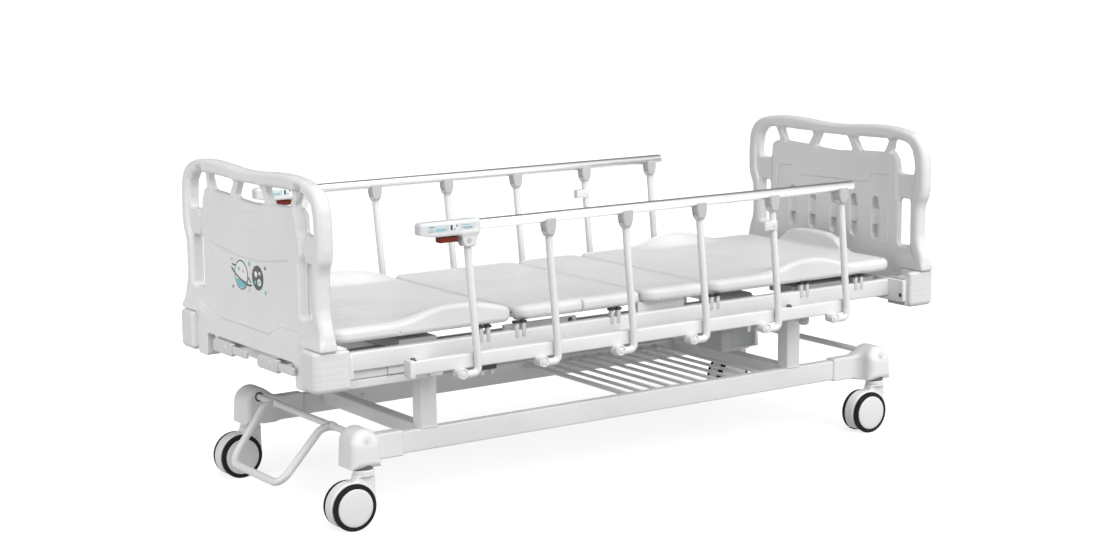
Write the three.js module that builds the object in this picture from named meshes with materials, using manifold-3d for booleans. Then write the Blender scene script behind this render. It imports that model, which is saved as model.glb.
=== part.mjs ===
// Children's-ward hospital cot: two-crank bed on four castors with folding
// side rails. Millimetres, +Z up, +X toward the head end, "left" = -Y (the
// occupant's left), origin on the floor under the middle of the bed.
import * as THREE from 'three';
import { mergeVertices } from 'three/addons/utils/BufferGeometryUtils.js';
import Module from 'manifold-3d';

const wasm = await Module();
wasm.setup();

// ---------------------------------------------------------------- dimensions
const GAP = 0.3;                 // running gap between neighbours
const CASTOR_X = 892, CASTOR_Y = 330;      // swivel stems
const WHEEL_R = 62.5, TRAIL = 42;          // 125 mm castor
const HOOD_HALF = 18, WHEEL_IN = 19, WHEEL_OUT = 33;
const COVER_Z0 = 160;                      // underside of the castor covers
const RAIL_Y0 = 267, RAIL_Y1 = 297, RAIL_Z0 = 165, RAIL_Z1 = 225, RAIL_END = 752;
const FOOT_POST_X0 = -696, HEAD_POST_X0 = 570, POST_W = 50, POST_Y0 = 250, POST_Y1 = 297;
const BEAM_Y0 = 310, BEAM_Y1 = 340, BEAM_Z0 = 414, BEAM_Z1 = 464, BEAM_END = 935;
const END_BEAM_OUT = 960, END_BEAM_Z0 = 400, END_BEAM_Z1 = 466, END_BEAM_Y = 402;
const BUMPER_OUT = 1062, BUMPER_Y0 = 322, BUMPER_Y1 = 407, BUMPER_Z0 = 381, BUMPER_Z1 = 488;
const BOARD_IN = 1000, BOARD_OUT = 1042;
const DECK_HALF = 345, DECK_Z0 = 490, DECK_Z1 = 526;
const LEG_X0 = -975, LEG_X1 = -424, THIGH_X0 = -414, THIGH_X1 = 8, SEAT_X0 = 14, SEAT_X1 = 240, BACK_X0 = 250, BACK_X1 = 950;
const SR_Y = 461, SR_RAIL_Z = 783, SR_RAIL_R = 14, SR_X0 = -793, SR_X1 = 668;
const SR_TOP_Z = 742, SR_BOT_Z = 400, SR_LEAN = 23, SR_TUBE_R = 10;
const SR_TOPS = [-646, -395, -145, 107, 368, 627];
const CRANK_LEFT = -150, CRANK_RIGHT = 120, CRANK_Z = 424;
const BRAKE_Z = 236;

// ------------------------------------------------------------------- helpers
const mAxis = {
  x: new THREE.Matrix4().makeBasis(new THREE.Vector3(0, 1, 0), new THREE.Vector3(0, 0, 1), new THREE.Vector3(1, 0, 0)), // (u,v)=(Y,Z)
  y: new THREE.Matrix4().makeBasis(new THREE.Vector3(1, 0, 0), new THREE.Vector3(0, 0, 1), new THREE.Vector3(0, -1, 0)), // (u,v)=(X,Z)
  z: new THREE.Matrix4(),                                                                                               // (u,v)=(X,Y)
};
function solid(geom) {
  let g = geom.clone();
  g.deleteAttribute('normal');
  g.deleteAttribute('uv');
  g = mergeVertices(g, 1e-3);
  return new wasm.Manifold(new wasm.Mesh({
    numProp: 3,
    vertProperties: new Float32Array(g.attributes.position.array),
    triVerts: new Uint32Array(g.index.array),
  }));
}
function geometry(man) {
  const m = man.getMesh();
  let g = new THREE.BufferGeometry();
  g.setAttribute('position', new THREE.BufferAttribute(new Float32Array(m.vertProperties), 3));
  g.setIndex(new THREE.BufferAttribute(new Uint32Array(m.triVerts), 1));
  g = g.toNonIndexed();
  g.computeVertexNormals();
  return g;
}
const join = (...a) => a.slice(1).reduce((p, q) => p.add(q), a[0]);
const cut = (a, ...b) => b.reduce((p, q) => p.subtract(q), a);
function box(x0, x1, y0, y1, z0, z1) {
  const g = new THREE.BoxGeometry(x1 - x0, y1 - y0, z1 - z0);
  g.translate((x0 + x1) / 2, (y0 + y1) / 2, (z0 + z1) / 2);
  return solid(g);
}
// round bar along an axis between two stations
function bar(axis, r, a, b, c1, c2, seg = 12) {
  const g = new THREE.CylinderGeometry(r, r, b - a, seg);
  if (axis === 'x') { g.rotateZ(-Math.PI / 2); g.translate((a + b) / 2, c1, c2); }
  if (axis === 'y') g.translate(c1, (a + b) / 2, c2);
  if (axis === 'z') { g.rotateX(Math.PI / 2); g.translate(c1, c2, (a + b) / 2); }
  return solid(g);
}
// extruded outline; (u,v) as in mAxis; stations d0..d1 along the axis
function prism(axis, pts, d0, d1, { holes = [], bevel = 0, bseg = 1, bt = bevel } = {}) {
  const sh = pts instanceof THREE.Shape ? pts : new THREE.Shape(pts.map(p => new THREE.Vector2(p[0], p[1])));
  for (const h of holes) {
    const v = h.map(p => new THREE.Vector2(p[0], p[1]));
    if (THREE.ShapeUtils.isClockWise(v) === THREE.ShapeUtils.isClockWise(sh.getPoints())) v.reverse();
    sh.holes.push(new THREE.Path(v));
  }
  const g = new THREE.ExtrudeGeometry(sh, {
    depth: d1 - d0 - 2 * bt * (bevel > 0), bevelEnabled: bevel > 0, bevelSize: bevel, bevelOffset: -bevel,
    bevelThickness: bt, bevelSegments: bseg, curveSegments: 4, steps: 1,
  });
  g.translate(0, 0, bevel > 0 ? bt : 0);
  g.applyMatrix4(mAxis[axis]);
  if (axis === 'x') g.translate(d0, 0, 0);
  if (axis === 'y') g.translate(0, d1, 0);
  if (axis === 'z') g.translate(0, 0, d0);
  return solid(g);
}
function roundRect(u0, u1, v0, v1, r, n = 4) {
  const p = [];
  const c = [[u1 - r, v1 - r, 0], [u0 + r, v1 - r, 90], [u0 + r, v0 + r, 180], [u1 - r, v0 + r, 270]];
  for (const [cu, cv, a0] of c) for (let i = 0; i <= n; i++) {
    const a = (a0 + 90 * i / n) * Math.PI / 180;
    p.push([cu + r * Math.cos(a), cv + r * Math.sin(a)]);
  }
  return p;
}
// bent tube through given stations, flat ends
class Stations extends THREE.Curve {
  constructor(pts) { super(); this.pts = pts.map(p => new THREE.Vector3(...p)); }
  getPoint(t, target = new THREE.Vector3()) {
    const n = this.pts.length - 1, f = Math.min(n - 1e-9, Math.max(0, t * n)), i = Math.floor(f);
    return target.copy(this.pts[i]).lerp(this.pts[i + 1], f - i);
  }
  getPointAt(u, t) { return this.getPoint(u, t); }
  getSpacedPoints() { return this.pts; }
  getTangentAt(u, target = new THREE.Vector3()) {
    const n = this.pts.length - 1, i = Math.round(u * n);
    const d = (a, b) => this.pts[b].clone().sub(this.pts[a]).normalize();
    if (i === 0) return target.copy(d(0, 1));
    if (i === n) return target.copy(d(n - 1, n));
    return target.copy(d(i - 1, i)).add(d(i, i + 1)).normalize();
  }
}
function tube(pts, r, seg = 8) {
  const c = [];
  for (let i = 0; i < seg; i++) c.push(new THREE.Vector2(r * Math.cos(2 * Math.PI * i / seg), r * Math.sin(2 * Math.PI * i / seg)));
  return solid(new THREE.ExtrudeGeometry(new THREE.Shape(c), { extrudePath: new Stations(pts), steps: pts.length - 1, bevelEnabled: false }));
}
function lathe(pts, seg) {          // profile [radius, station], axis along Y
  return solid(new THREE.LatheGeometry(pts.map(p => new THREE.Vector2(p[0], p[1])), seg));
}
function arc(cx, cz, r, a0, a1, n) {
  const o = [];
  for (let i = 0; i <= n; i++) { const a = (a0 + (a1 - a0) * i / n) * Math.PI / 180; o.push([cx + r * Math.cos(a), cz + r * Math.sin(a)]); }
  return o;
}

const group = new THREE.Group();
group.name = 'pediatric_hospital_cot';
const MAT = {
  coat: [0xe8eaea, 0.42, 0.0], plastic: [0xecedeb, 0.45, 0.0], board: [0xe9eae9, 0.42, 0.0], bumper: [0xd9dadb, 0.55, 0.0],
  alu: [0xd4d7da, 0.28, 0.9], grey: [0xa9abad, 0.5, 0.0], rubber: [0x1b1c1e, 0.7, 0.0], red: [0x8f1a17, 0.4, 0.0],
  box: [0xc3c7c9, 0.5, 0.0],
};
function add(name, man, mat, { pos = [0, 0, 0], yaw = 0, mirrorX = false, mirrorY = false } = {}) {
  const [color, roughness, metalness] = MAT[mat];
  const mesh = new THREE.Mesh(geometry(man), new THREE.MeshStandardMaterial({ color, roughness, metalness }));
  mesh.name = name;
  mesh.position.set(...pos);
  mesh.rotation.z = yaw;
  mesh.scale.set(mirrorX ? -1 : 1, mirrorY ? -1 : 1, 1);
  group.add(mesh);
}
const ENDS = [['foot', -1], ['head', 1]], SIDES = [['left', -1], ['right', 1]];

// ------------------------------------------------------------------- castors
// built with the stem on the Z axis, axle along Y, wheels trailing toward -X
const fork = cut(
  join(
    cut(bar('y', 64, -HOOD_HALF, HOOD_HALF, -TRAIL, WHEEL_R, 18), box(-120, 60, -60, 60, -10, 24), box(-10, 60, -60, 60, -10, 84)),
    prism('z', roundRect(-24, 24, -HOOD_HALF, HOOD_HALF, 12, 2), 82, 140),
    bar('z', 24, 138, 155, 0, 0, 12),
    bar('z', 12, 154, 178, 0, 0, 12)),
  bar('y', 9, -60, 60, -TRAIL, WHEEL_R, 12));
const wheel = lathe([[0, -WHEEL_OUT], [48, -WHEEL_OUT], [WHEEL_R, -29], [WHEEL_R, -22], [58, -WHEEL_IN], [8, -WHEEL_IN],
  [8, WHEEL_IN], [58, WHEEL_IN], [WHEEL_R, 22], [WHEEL_R, 29], [48, WHEEL_OUT], [0, WHEEL_OUT]], 16);
for (const [e, sx] of ENDS) for (const [s, sy] of SIDES) {
  const k = `${e}_${s}`;
  add(`castor_fork_${k}`, fork, 'coat', { pos: [sx * CASTOR_X, sy * CASTOR_Y, 0] });
  add(`castor_wheel_${k}`, wheel, 'rubber', { pos: [sx * CASTOR_X - TRAIL, sy * CASTOR_Y, WHEEL_R] });
}

// ------------------------------------------------- castor covers (head right)
const domeOutline = [[-45, COVER_Z0], [43, COVER_Z0], [43.5, 172], [42, 206], ...arc(0, 219, 42, 0, 180, 8), [-42, 206], [-45, 172]];
const cover = cut(
  join(
    prism('y', domeOutline.map(([u, v]) => [CASTOR_X + u, v]), 264, 360, { bevel: 11, bseg: 1 }),
    prism('x', roundRect(RAIL_Y0 - 4, RAIL_Y1 + 4, RAIL_Z0 - 4, RAIL_Z1 + 5, 6, 2), RAIL_END + GAP, CASTOR_X - 20),
    prism('z', [[CASTOR_X - 80, 266], [CASTOR_X - 20, 266], [CASTOR_X - 20, 345], [CASTOR_X - 43, 345], [CASTOR_X - 58, 312]], RAIL_Z0 - 4, RAIL_Z1 + 5)),
  bar('z', 12.8, 150, 180, CASTOR_X, CASTOR_Y, 12),
  bar('y', 12, 250, 300, CASTOR_X, BRAKE_Z, 12));
for (const [e, sx] of ENDS) for (const [s, sy] of SIDES)
  add(`castor_cover_${e}_${s}`, cover, 'plastic', { mirrorX: sx < 0, mirrorY: sy < 0 });

// ------------------------------------------------------------------ base frame
const baseRail = prism('x', roundRect(RAIL_Y0, RAIL_Y1, RAIL_Z0, RAIL_Z1, 4, 2), -RAIL_END, RAIL_END);
for (const [s, sy] of SIDES) add(`base_rail_${s}`, baseRail, 'coat', { mirrorY: sy < 0 });
function legFrame(x0) {
  const post = (s) => prism('z', roundRect(x0, x0 + POST_W, Math.min(s * POST_Y0, s * POST_Y1), Math.max(s * POST_Y0, s * POST_Y1), 4, 2), RAIL_Z1 + GAP, BEAM_Z0 - 20);
  return join(
    prism('y', roundRect(x0 + 5, x0 + POST_W - 5, RAIL_Z1 - 38, RAIL_Z1 + 4, 4, 2), -RAIL_Y0 + GAP, RAIL_Y0 - GAP),
    prism('y', roundRect(x0 + 5, x0 + POST_W - 5, BEAM_Z0 - 42, BEAM_Z0 - GAP, 4, 2), -BEAM_Y1 + 2, BEAM_Y1 - 2),
    post(-1), post(1));
}
const footTubes = [];
for (const s of [-1, 1]) footTubes.push(
  box(-934.7, -676, s < 0 ? -326 : 292, s < 0 ? -292 : 326, 366, 391),
  box(-934.7, -812, s < 0 ? -328 : 300, s < 0 ? -300 : 328, 390, BEAM_Z0 - GAP),
  box(-813, -676, s < 0 ? -331 : 304, s < 0 ? -304 : 331, 390, BEAM_Z0 - GAP));
add('foot_leg_frame', join(legFrame(FOOT_POST_X0), ...footTubes), 'coat');
add('head_leg_frame', legFrame(HEAD_POST_X0), 'coat');
const rackParts = [];
for (const y of [-254, 254]) rackParts.push(box(2, 512, y - 7, y + 7, 203, 211));
for (let i = 0; i < 10; i++) rackParts.push(bar('y', i === 0 ? 7 : 5, -RAIL_Y0 + GAP, RAIL_Y0 - GAP, 12 + 54.5 * i, 214, 6));
add('storage_rack', join(...rackParts), 'coat');

// ---------------------------------------------------------------- brake bars
function loop() {
  const p = [], X = -CASTOR_X;
  const half = [[X, 164, BRAKE_Z], [X - 28, 164, BRAKE_Z - 5], [X - 55, 162, BRAKE_Z - 26], [X - 115, 157, 156], [X - 137, 152, 130], [X - 146, 146, 107], [X - 149, 134, 96], [X - 149, 116, 94]];
  for (const q of half) p.push(q);
  for (const q of half.slice().reverse()) p.push([q[0], -q[1], q[2]]);
  return tube(p, 10, 8);
}
add('brake_pedal', join(bar('y', 9, -292, 292, -CASTOR_X, BRAKE_Z, 12), loop()), 'coat');
add('brake_shaft_head', bar('y', 9, -292, 292, CASTOR_X, BRAKE_Z, 12), 'grey');

// --------------------------------------------------------------- upper frame
const sideBeam = prism('x', roundRect(BEAM_Y0, BEAM_Y1, BEAM_Z0, BEAM_Z1, 4, 2), -BEAM_END, BEAM_END);
for (const [s, sy] of SIDES) add(`side_beam_${s}`, sideBeam, 'coat', { mirrorY: sy < 0 });
function endBeam(cranks) {
  let m = prism('x', roundRect(-END_BEAM_Y, END_BEAM_Y, END_BEAM_Z0, END_BEAM_Z1, 5, 2), BEAM_END + GAP, END_BEAM_OUT);
  for (const y of [-230, 230]) m = join(m, box(END_BEAM_OUT - 2, 1032, y - 10, y + 10, 410, 436), bar('z', 7, 434, 500, 1021, y, 10));
  if (cranks) for (const y of [CRANK_LEFT, CRANK_RIGHT]) m = cut(m, bar('x', 9.5, 900, 1000, y, CRANK_Z, 12));
  return m;
}
add('head_end_beam', endBeam(false), 'coat');
add('foot_end_beam', endBeam(true), 'coat', { mirrorX: true });
const bumper = prism('z', roundRect(END_BEAM_OUT + GAP, BUMPER_OUT, BUMPER_Y0, BUMPER_Y1, 14, 3), BUMPER_Z0, BUMPER_Z1, { bevel: 6, bseg: 1 });
for (const [e, sx] of ENDS) for (const [s, sy] of SIDES)
  add(`bumper_${e}_${s}`, bumper, 'bumper', { mirrorX: sx < 0, mirrorY: sy < 0 });
add('drive_box', join(
  prism('z', roundRect(420, 556, -172, -58, 8, 2), 268, BEAM_Z0 - 42 - GAP),
  prism('z', roundRect(420, 540, -172, -58, 8, 2), 340, 442)), 'box');

// -------------------------------------------------------------- end boards
const halfEdge = [[0, 910], [60, 912], [130, 917], [200, 920], [262, 919], [318, 913], [358, 903], [384, 888], [400, 868], [409, 842], [413, 800], [413, 742],
  [409, 714], [399, 697], [393, 680], [391, 640], [391, 592], [396, 570], [404, 551], [411, 530], [414, 505], [414, BUMPER_Z1 + 0.6],
  [BUMPER_Y0 - GAP, BUMPER_Z1 + 0.6], [BUMPER_Y0 - GAP, 380], [316, 374], [268, 374], [262, 380], [262, 431], [254, 439]];
const boardEdge = halfEdge.concat(halfEdge.slice(1).reverse().map(([y, z]) => [-y, z]));
const mir = h => h.map(([y, z]) => [-y, z]).reverse();
const W3 = [[-64, 876], [64, 876], [90, 832], [70, 828], [0, 825], [-70, 828], [-90, 832]];
const W2 = [[90, 878], [256, 881], [231, 837], [121, 833]];
const W1 = [[281, 881], [318, 878], [352, 868], [370, 852], [376, 832], [378, 800], [376, 783], [367, 776], [310, 776], [301, 783], [298, 806], [293, 824], [280, 834], [256, 838]];
const SLOT = roundRect(288, 356, 558, 703, 14, 3);
function board() {
  let m = prism('x', boardEdge, BOARD_IN, BOARD_OUT, { holes: [W3, W2, mir(W2), W1, mir(W1), SLOT, mir(SLOT)] });
  for (const y of [-230, 230]) m = cut(m, bar('z', 7.5, 430, 504, 1021, y, 10));
  return m;
}
const boardSolid = board();
add('headboard', boardSolid, 'board');
add('footboard', boardSolid, 'board', { mirrorX: true });

// --------------------------------------------------------------------- deck
function panel(x0, x1) {
  return prism('z', roundRect(x0, x1, -DECK_HALF, DECK_HALF, 22, 3), DECK_Z0, DECK_Z1, { bevel: 9, bseg: 2 });
}
function wings(pts) {
  const out = [];
  for (const s of [-1, 1]) out.push(prism('y', pts, s < 0 ? -DECK_HALF + 4 : DECK_HALF - 34, s < 0 ? -DECK_HALF + 34 : DECK_HALF - 4, { bevel: 5, bseg: 1 }));
  return out;
}
add('leg_panel', join(panel(LEG_X0, LEG_X1), ...wings([[-775, 505], [-436, 505], [-434, 516], [-455, 533], [-503, 547], [-565, 557], [-627, 559], [-688, 550], [-734, 535], [-775, 520]])), 'plastic');
let thigh = panel(THIGH_X0, THIGH_X1);
for (const s of [-1, 1]) thigh = cut(thigh, box(-206, -202, s < 0 ? -360 : 334, s < 0 ? -334 : 360, 480, 540));
add('thigh_panel', thigh, 'plastic');
add('seat_panel', panel(SEAT_X0, SEAT_X1), 'plastic');
add('back_panel', join(panel(BACK_X0, BACK_X1),
  ...wings([[470, 505], [770, 505], [770, 520], [728, 541], [690, 553], [640, 560], [585, 559], [535, 550], [500, 537], [470, 520]]),
  prism('x', [[-165, 510], [165, 510], [158, 524], [140, 543], [112, 565], [70, 576], [0, 579], [-70, 576], [-112, 565], [-140, 543], [-158, 524]], 912, 946, { bevel: 6, bseg: 1 })), 'plastic');
// ladder frames under the two lifting sections
function ladder(x0, x1, xs) {
  const z0 = 476, z1 = DECK_Z0 - GAP, parts = [];
  for (const y of [-262, 262]) parts.push(box(x0, x1, y - 12, y + 12, z0, z1));
  for (const x of xs) parts.push(box(x - 12, x + 12, -260, 260, z0 + 1, z1 - 1));
  return join(...parts);
}
add('back_frame', ladder(300, 905, [318, 600, 880]), 'coat');
add('thigh_frame', ladder(-372, -40, [-354, -60]), 'coat');

// -------------------------------------------------------------------- cranks
// shaft along X, arm outside the foot board, grip folded flat in line with the arm
function crank(len) {
  return join(
    bar('x', 9, -1054, -1054 + len, 0, CRANK_Z, 12),
    prism('x', roundRect(-40, 75, CRANK_Z - 22, CRANK_Z + 12, 10, 3), -1060.5, -1046, { bevel: 3, bseg: 1 }),
    box(-1049.7, -1046.3, -64, -36, CRANK_Z - 11, CRANK_Z + 6));
}
const grip = prism('z', roundRect(-1062, -1050, -130, -46, 5.9, 3), CRANK_Z - 13, CRANK_Z + 8);
add('crank_left', crank(1054 + 419.5), 'coat', { pos: [0, CRANK_LEFT, 0] });
add('crank_right', crank(1054 - 250), 'coat', { pos: [0, CRANK_RIGHT, 0] });
add('crank_grip_left', grip, 'plastic', { pos: [0, CRANK_LEFT, 0] });
add('crank_grip_right', grip, 'plastic', { pos: [0, CRANK_RIGHT, 0] });

// ---------------------------------------------------------------- side rails
// built for the right side (+Y) and mirrored for the left
const Y = SR_Y;
const forkU = (x, w) => prism('x', [[Y - 15, 735], [Y - 10.7, 735], [Y - 10.7, 757], [Y + 10.7, 757], [Y + 10.7, 735], [Y + 15, 735], [Y + 15, 774], [Y - 15, 774]], x - w, x + w);
function handrail() {
  let m = bar('x', SR_RAIL_R, -620 + GAP, SR_X1, Y, SR_RAIL_Z, 16);
  for (const x of SR_TOPS.slice(1)) m = join(m, forkU(x, 14));
  return m;
}
function latch() {
  const x0 = SR_X0, x1 = -620;
  return cut(join(
    prism('x', roundRect(Y - 18, Y + 18, 758, 800, 9, 3), x0, x1, { bevel: 3, bseg: 1 }),
    prism('x', [[Y - 16, 729], [Y - 10.7, 729], [Y - 10.7, 757], [Y + 10.7, 757], [Y + 10.7, 729], [Y + 16, 729], [Y + 16, 770], [Y - 16, 770]], -662, -628)),
    box(-737, -673, Y - 12.8, Y + 12.8, 750, 766));
}
const trigger = prism('x', roundRect(Y - 12, Y + 12, 742, 759, 4, 2), -735, -675);
function upright(xt, clip) {
  // from the head pivot down, then a hook toward the foot end onto the lower pivot
  const xb = xt + 27, zb = 428, xp = xt - SR_LEAN;
  const k = (xb - xt) / (SR_TOP_Z - zb);
  const pts = [[xt - k * 8, Y, SR_TOP_Z + 8], [xb, Y, zb],
    [xb + 0.5, Y, zb - 13], [xb - 4, Y, zb - 23], [xb - 13, Y, SR_BOT_Z - 2], [xb - 24, Y, SR_BOT_Z - 5], [xp + 10, Y, SR_BOT_Z - 2], [xp - 10, Y, SR_BOT_Z + 2]];
  let m = tube(pts, SR_TUBE_R, 8);
  if (clip) m = join(m, prism('z', roundRect(xt - 34, xt + 12, Y - 10.4, Y + 12, 4, 2), 680, 706));
  return m;
}
function railBase() {
  let m = prism('x', roundRect(Y - 33, Y - 11, 408, 446, 4, 2), -812, 660);
  for (const xt of SR_TOPS) m = join(m, prism('y', roundRect(xt - SR_LEAN - 14, xt - SR_LEAN + 14, 387, 415, 8, 2), Y - 22, Y - 10.7));
  for (const x of [-720, -60, 560]) m = join(m, box(x - 22, x + 22, BEAM_Y1 + GAP, Y - 30, 416, 440));
  return m;
}
const srParts = [
  ['handrail', handrail(), 'alu'], ['latch', latch(), 'plastic'], ['trigger', trigger, 'red'], ['base', railBase(), 'coat'],
  ...SR_TOPS.map((x, i) => [`upright_${i + 1}`, upright(x, i === 4), 'coat']),
];
for (const [s, sy] of SIDES) for (const [n, m, mat] of srParts) add(`siderail_${s}_${n}`, m, mat, { mirrorY: sy < 0 });

export default group;
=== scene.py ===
import math

import bpy
import numpy as np
from mathutils import Matrix, Vector


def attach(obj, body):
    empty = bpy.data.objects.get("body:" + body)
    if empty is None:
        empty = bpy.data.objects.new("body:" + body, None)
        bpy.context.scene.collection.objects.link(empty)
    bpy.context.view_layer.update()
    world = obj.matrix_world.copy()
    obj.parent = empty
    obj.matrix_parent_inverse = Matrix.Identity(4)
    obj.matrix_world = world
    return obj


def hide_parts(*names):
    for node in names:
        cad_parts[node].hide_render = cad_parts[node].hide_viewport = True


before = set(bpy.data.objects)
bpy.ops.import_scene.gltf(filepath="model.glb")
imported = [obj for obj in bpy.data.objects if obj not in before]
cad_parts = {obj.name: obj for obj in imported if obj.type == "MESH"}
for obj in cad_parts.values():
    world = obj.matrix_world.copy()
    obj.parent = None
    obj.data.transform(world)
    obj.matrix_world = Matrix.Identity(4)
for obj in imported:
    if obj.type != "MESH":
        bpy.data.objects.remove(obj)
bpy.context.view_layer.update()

MM = 0.001
scene = bpy.context.scene

# =====================================================================
# camera
# =====================================================================
R_ = Vector((0.82739107, -0.56151998, -0.01092414))
U_ = Vector((0.10231974, 0.13158413, 0.98601029))
D_ = Vector((0.55222703, 0.81693386, -0.16632611))
C_ = Vector((-3.39311162, -4.90135328, 1.51848119))
cam_data = bpy.data.cameras.new("view_camera")
cam_data.sensor_fit = "HORIZONTAL"
cam_data.sensor_width = 36.0
cam_data.lens = 67.639
cam_data.clip_start, cam_data.clip_end = 0.05, 300.0
cam = bpy.data.objects.new("view_camera", cam_data)
scene.collection.objects.link(cam)
cam.matrix_world = Matrix(((R_.x, U_.x, -D_.x, C_.x), (R_.y, U_.y, -D_.y, C_.y), (R_.z, U_.z, -D_.z, C_.z), (0, 0, 0, 1)))
scene.camera = cam
scene.view_settings.view_transform = "Standard"

# =====================================================================
# materials (all procedural, object coordinates in metres)
# =====================================================================
MATS = {}


def material(name, base, rough=0.45, metal=0.0, tone=0.03, tone_scale=6.0, grain=650.0, bump=0.00004, rvar=0.06, rscale=180.0,
             spec=0.5, coat=0.0, stretch=None, strength=0.35):
    """A finish: slow tone variation, fine roughness variation and a fine surface grain."""
    m = bpy.data.materials.new(name)
    m.use_nodes = True
    nt = m.node_tree
    nt.nodes.clear()
    out = nt.nodes.new("ShaderNodeOutputMaterial")
    b = nt.nodes.new("ShaderNodeBsdfPrincipled")
    nt.links.new(b.outputs[0], out.inputs[0])
    b.inputs["Metallic"].default_value = metal
    b.inputs["Specular IOR Level"].default_value = spec
    if coat:
        b.inputs["Coat Weight"].default_value = coat
        b.inputs["Coat Roughness"].default_value = 0.12
    tc = nt.nodes.new("ShaderNodeTexCoord")
    src = tc.outputs["Object"]
    if stretch:
        mp = nt.nodes.new("ShaderNodeMapping")
        mp.inputs["Scale"].default_value = stretch
        nt.links.new(src, mp.inputs[0])
        src = mp.outputs[0]

    def noise(scale, detail):
        n = nt.nodes.new("ShaderNodeTexNoise")
        n.inputs["Scale"].default_value = scale
        n.inputs["Detail"].default_value = detail
        nt.links.new(src, n.inputs["Vector"])
        return n.outputs["Fac"]

    def remap(val, lo, hi):
        r = nt.nodes.new("ShaderNodeMapRange")
        r.inputs["From Min"].default_value, r.inputs["From Max"].default_value = 0.3, 0.7
        r.inputs["To Min"].default_value, r.inputs["To Max"].default_value = lo, hi
        nt.links.new(val, r.inputs["Value"])
        return r.outputs["Result"]

    ramp = nt.nodes.new("ShaderNodeValToRGB")
    nt.links.new(noise(tone_scale, 4.0), ramp.inputs[0])
    lo = [c * (1 - tone) for c in base]
    hi = [min(1.0, c * (1 + tone)) for c in base]
    ramp.color_ramp.elements[0].position, ramp.color_ramp.elements[1].position = 0.32, 0.68
    ramp.color_ramp.elements[0].color, ramp.color_ramp.elements[1].color = (*lo, 1), (*hi, 1)
    nt.links.new(ramp.outputs[0], b.inputs["Base Color"])
    nt.links.new(remap(noise(rscale, 3.0), rough - rvar, rough + rvar), b.inputs["Roughness"])
    if bump:
        bp = nt.nodes.new("ShaderNodeBump")
        bp.inputs["Strength"].default_value = strength
        bp.inputs["Distance"].default_value = bump
        nt.links.new(noise(grain, 2.0), bp.inputs["Height"])
        nt.links.new(bp.outputs[0], b.inputs["Normal"])
    MATS[name] = m
    return m


W = 0.735
material("coat", (W, W + 0.004, W + 0.004), rough=0.40, grain=900, bump=0.00003)                       # powder coat, orange peel
material("deck", (W, W + 0.003, W + 0.002), rough=0.50, grain=520, bump=0.00006, rvar=0.05)            # blow-moulded
material("board", (W, W + 0.003, W + 0.003), rough=0.42, grain=620, bump=0.00004, rvar=0.05)           # moulded shell
material("cover", (W, W + 0.003, W + 0.003), rough=0.42, grain=700, bump=0.00004)
material("bumper", (0.68, 0.685, 0.69), rough=0.52, grain=480, bump=0.00008, rvar=0.06)
material("alu", (0.86, 0.87, 0.88), rough=0.30, metal=1.0, tone=0.03, tone_scale=30, grain=900, bump=0.00002, stretch=(0.02, 1, 1), rscale=400, rvar=0.05)
# white coat made darker: painted shade for the cranks under the foot board and the pegs under the deck
material("coat_painted_shade", (0.60, 0.605, 0.60), rough=0.46, grain=700, bump=0.00004)
# mid grey; also used for the painted-shade strips in the deck slots
material("socket", (0.50, 0.505, 0.51), rough=0.48, grain=800, bump=0.00004)
# plain grey; also used as painted shade on members under the deck and on the foot-end spacers
material("grey", (0.44, 0.445, 0.45), rough=0.45, grain=800, bump=0.00004)
material("drive", (0.47, 0.48, 0.485), rough=0.5, grain=600, bump=0.00005)
material("rubber", (0.006, 0.006, 0.0065), spec=0.22, rough=0.72, tone=0.25, tone_scale=60, grain=700, bump=0.00008, rvar=0.1)
material("disc", (0.70, 0.705, 0.705), rough=0.36, grain=500, bump=0.00003)
material("red", (0.150, 0.012, 0.004), rough=0.52, spec=0.25, tone=0.12, tone_scale=40, grain=500, bump=0.00004)
material("black", (0.022, 0.022, 0.023), rough=0.55, tone=0.2, tone_scale=50, grain=700, bump=0.00006)
material("steel", (0.42, 0.425, 0.43), rough=0.34, metal=1.0, tone=0.06, tone_scale=90, grain=900, bump=0.00003, rvar=0.08)
material("dark", (0.10, 0.102, 0.105), rough=0.5, tone=0.1, tone_scale=40, grain=700, bump=0.00004)
material("label", (0.62, 0.70, 0.72), rough=0.35, tone=0.02, tone_scale=40, grain=900, bump=0.00001)
material("label_blue", (0.30, 0.52, 0.58), rough=0.35, tone=0.04, tone_scale=60, grain=900, bump=0.00001)
material("label_white", (0.78, 0.79, 0.79), rough=0.35, tone=0.02, tone_scale=60, grain=900, bump=0.00001)
material("ink", (0.03, 0.03, 0.033), rough=0.35, tone=0.08, tone_scale=80, grain=900, bump=0.00001)
material("teal", (0.13, 0.46, 0.52), rough=0.35, tone=0.05, tone_scale=80, grain=900, bump=0.00001)
material("pink", (0.72, 0.36, 0.42), rough=0.35, tone=0.04, tone_scale=80, grain=900, bump=0.00001)
material("cream", (0.66, 0.60, 0.36), rough=0.4, tone=0.04, tone_scale=80, grain=900, bump=0.00001)

# =====================================================================
# mesh helpers: a "part" is (vertices in mm, list of face index arrays)
# =====================================================================


def A(*v):
    return np.array(v, float)


def mv(p, dx=0, dy=0, dz=0):
    return p[0] + A(dx, dy, dz), p[1]


def flip(p, *axes):
    V = p[0].copy()
    F = p[1]
    for a in axes:
        V[:, a] *= -1
        F = [f[:, ::-1] for f in F]
    return V, F


def turn_z(p, ang, o=(0, 0)):
    V = p[0].copy()
    c, s = math.cos(ang), math.sin(ang)
    x, y = V[:, 0] - o[0], V[:, 1] - o[1]
    V[:, 0], V[:, 1] = o[0] + c * x - s * y, o[1] + s * x + c * y
    return V, p[1]


def orient(p, n, o=(0, 0, 0)):
    """turns a part made along +Z so that +Z points along n, then moves it to o"""
    q = Vector((0, 0, 1)).rotation_difference(Vector(n)).to_matrix()
    return p[0] @ np.array(q).T + A(*o), p[1]


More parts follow.
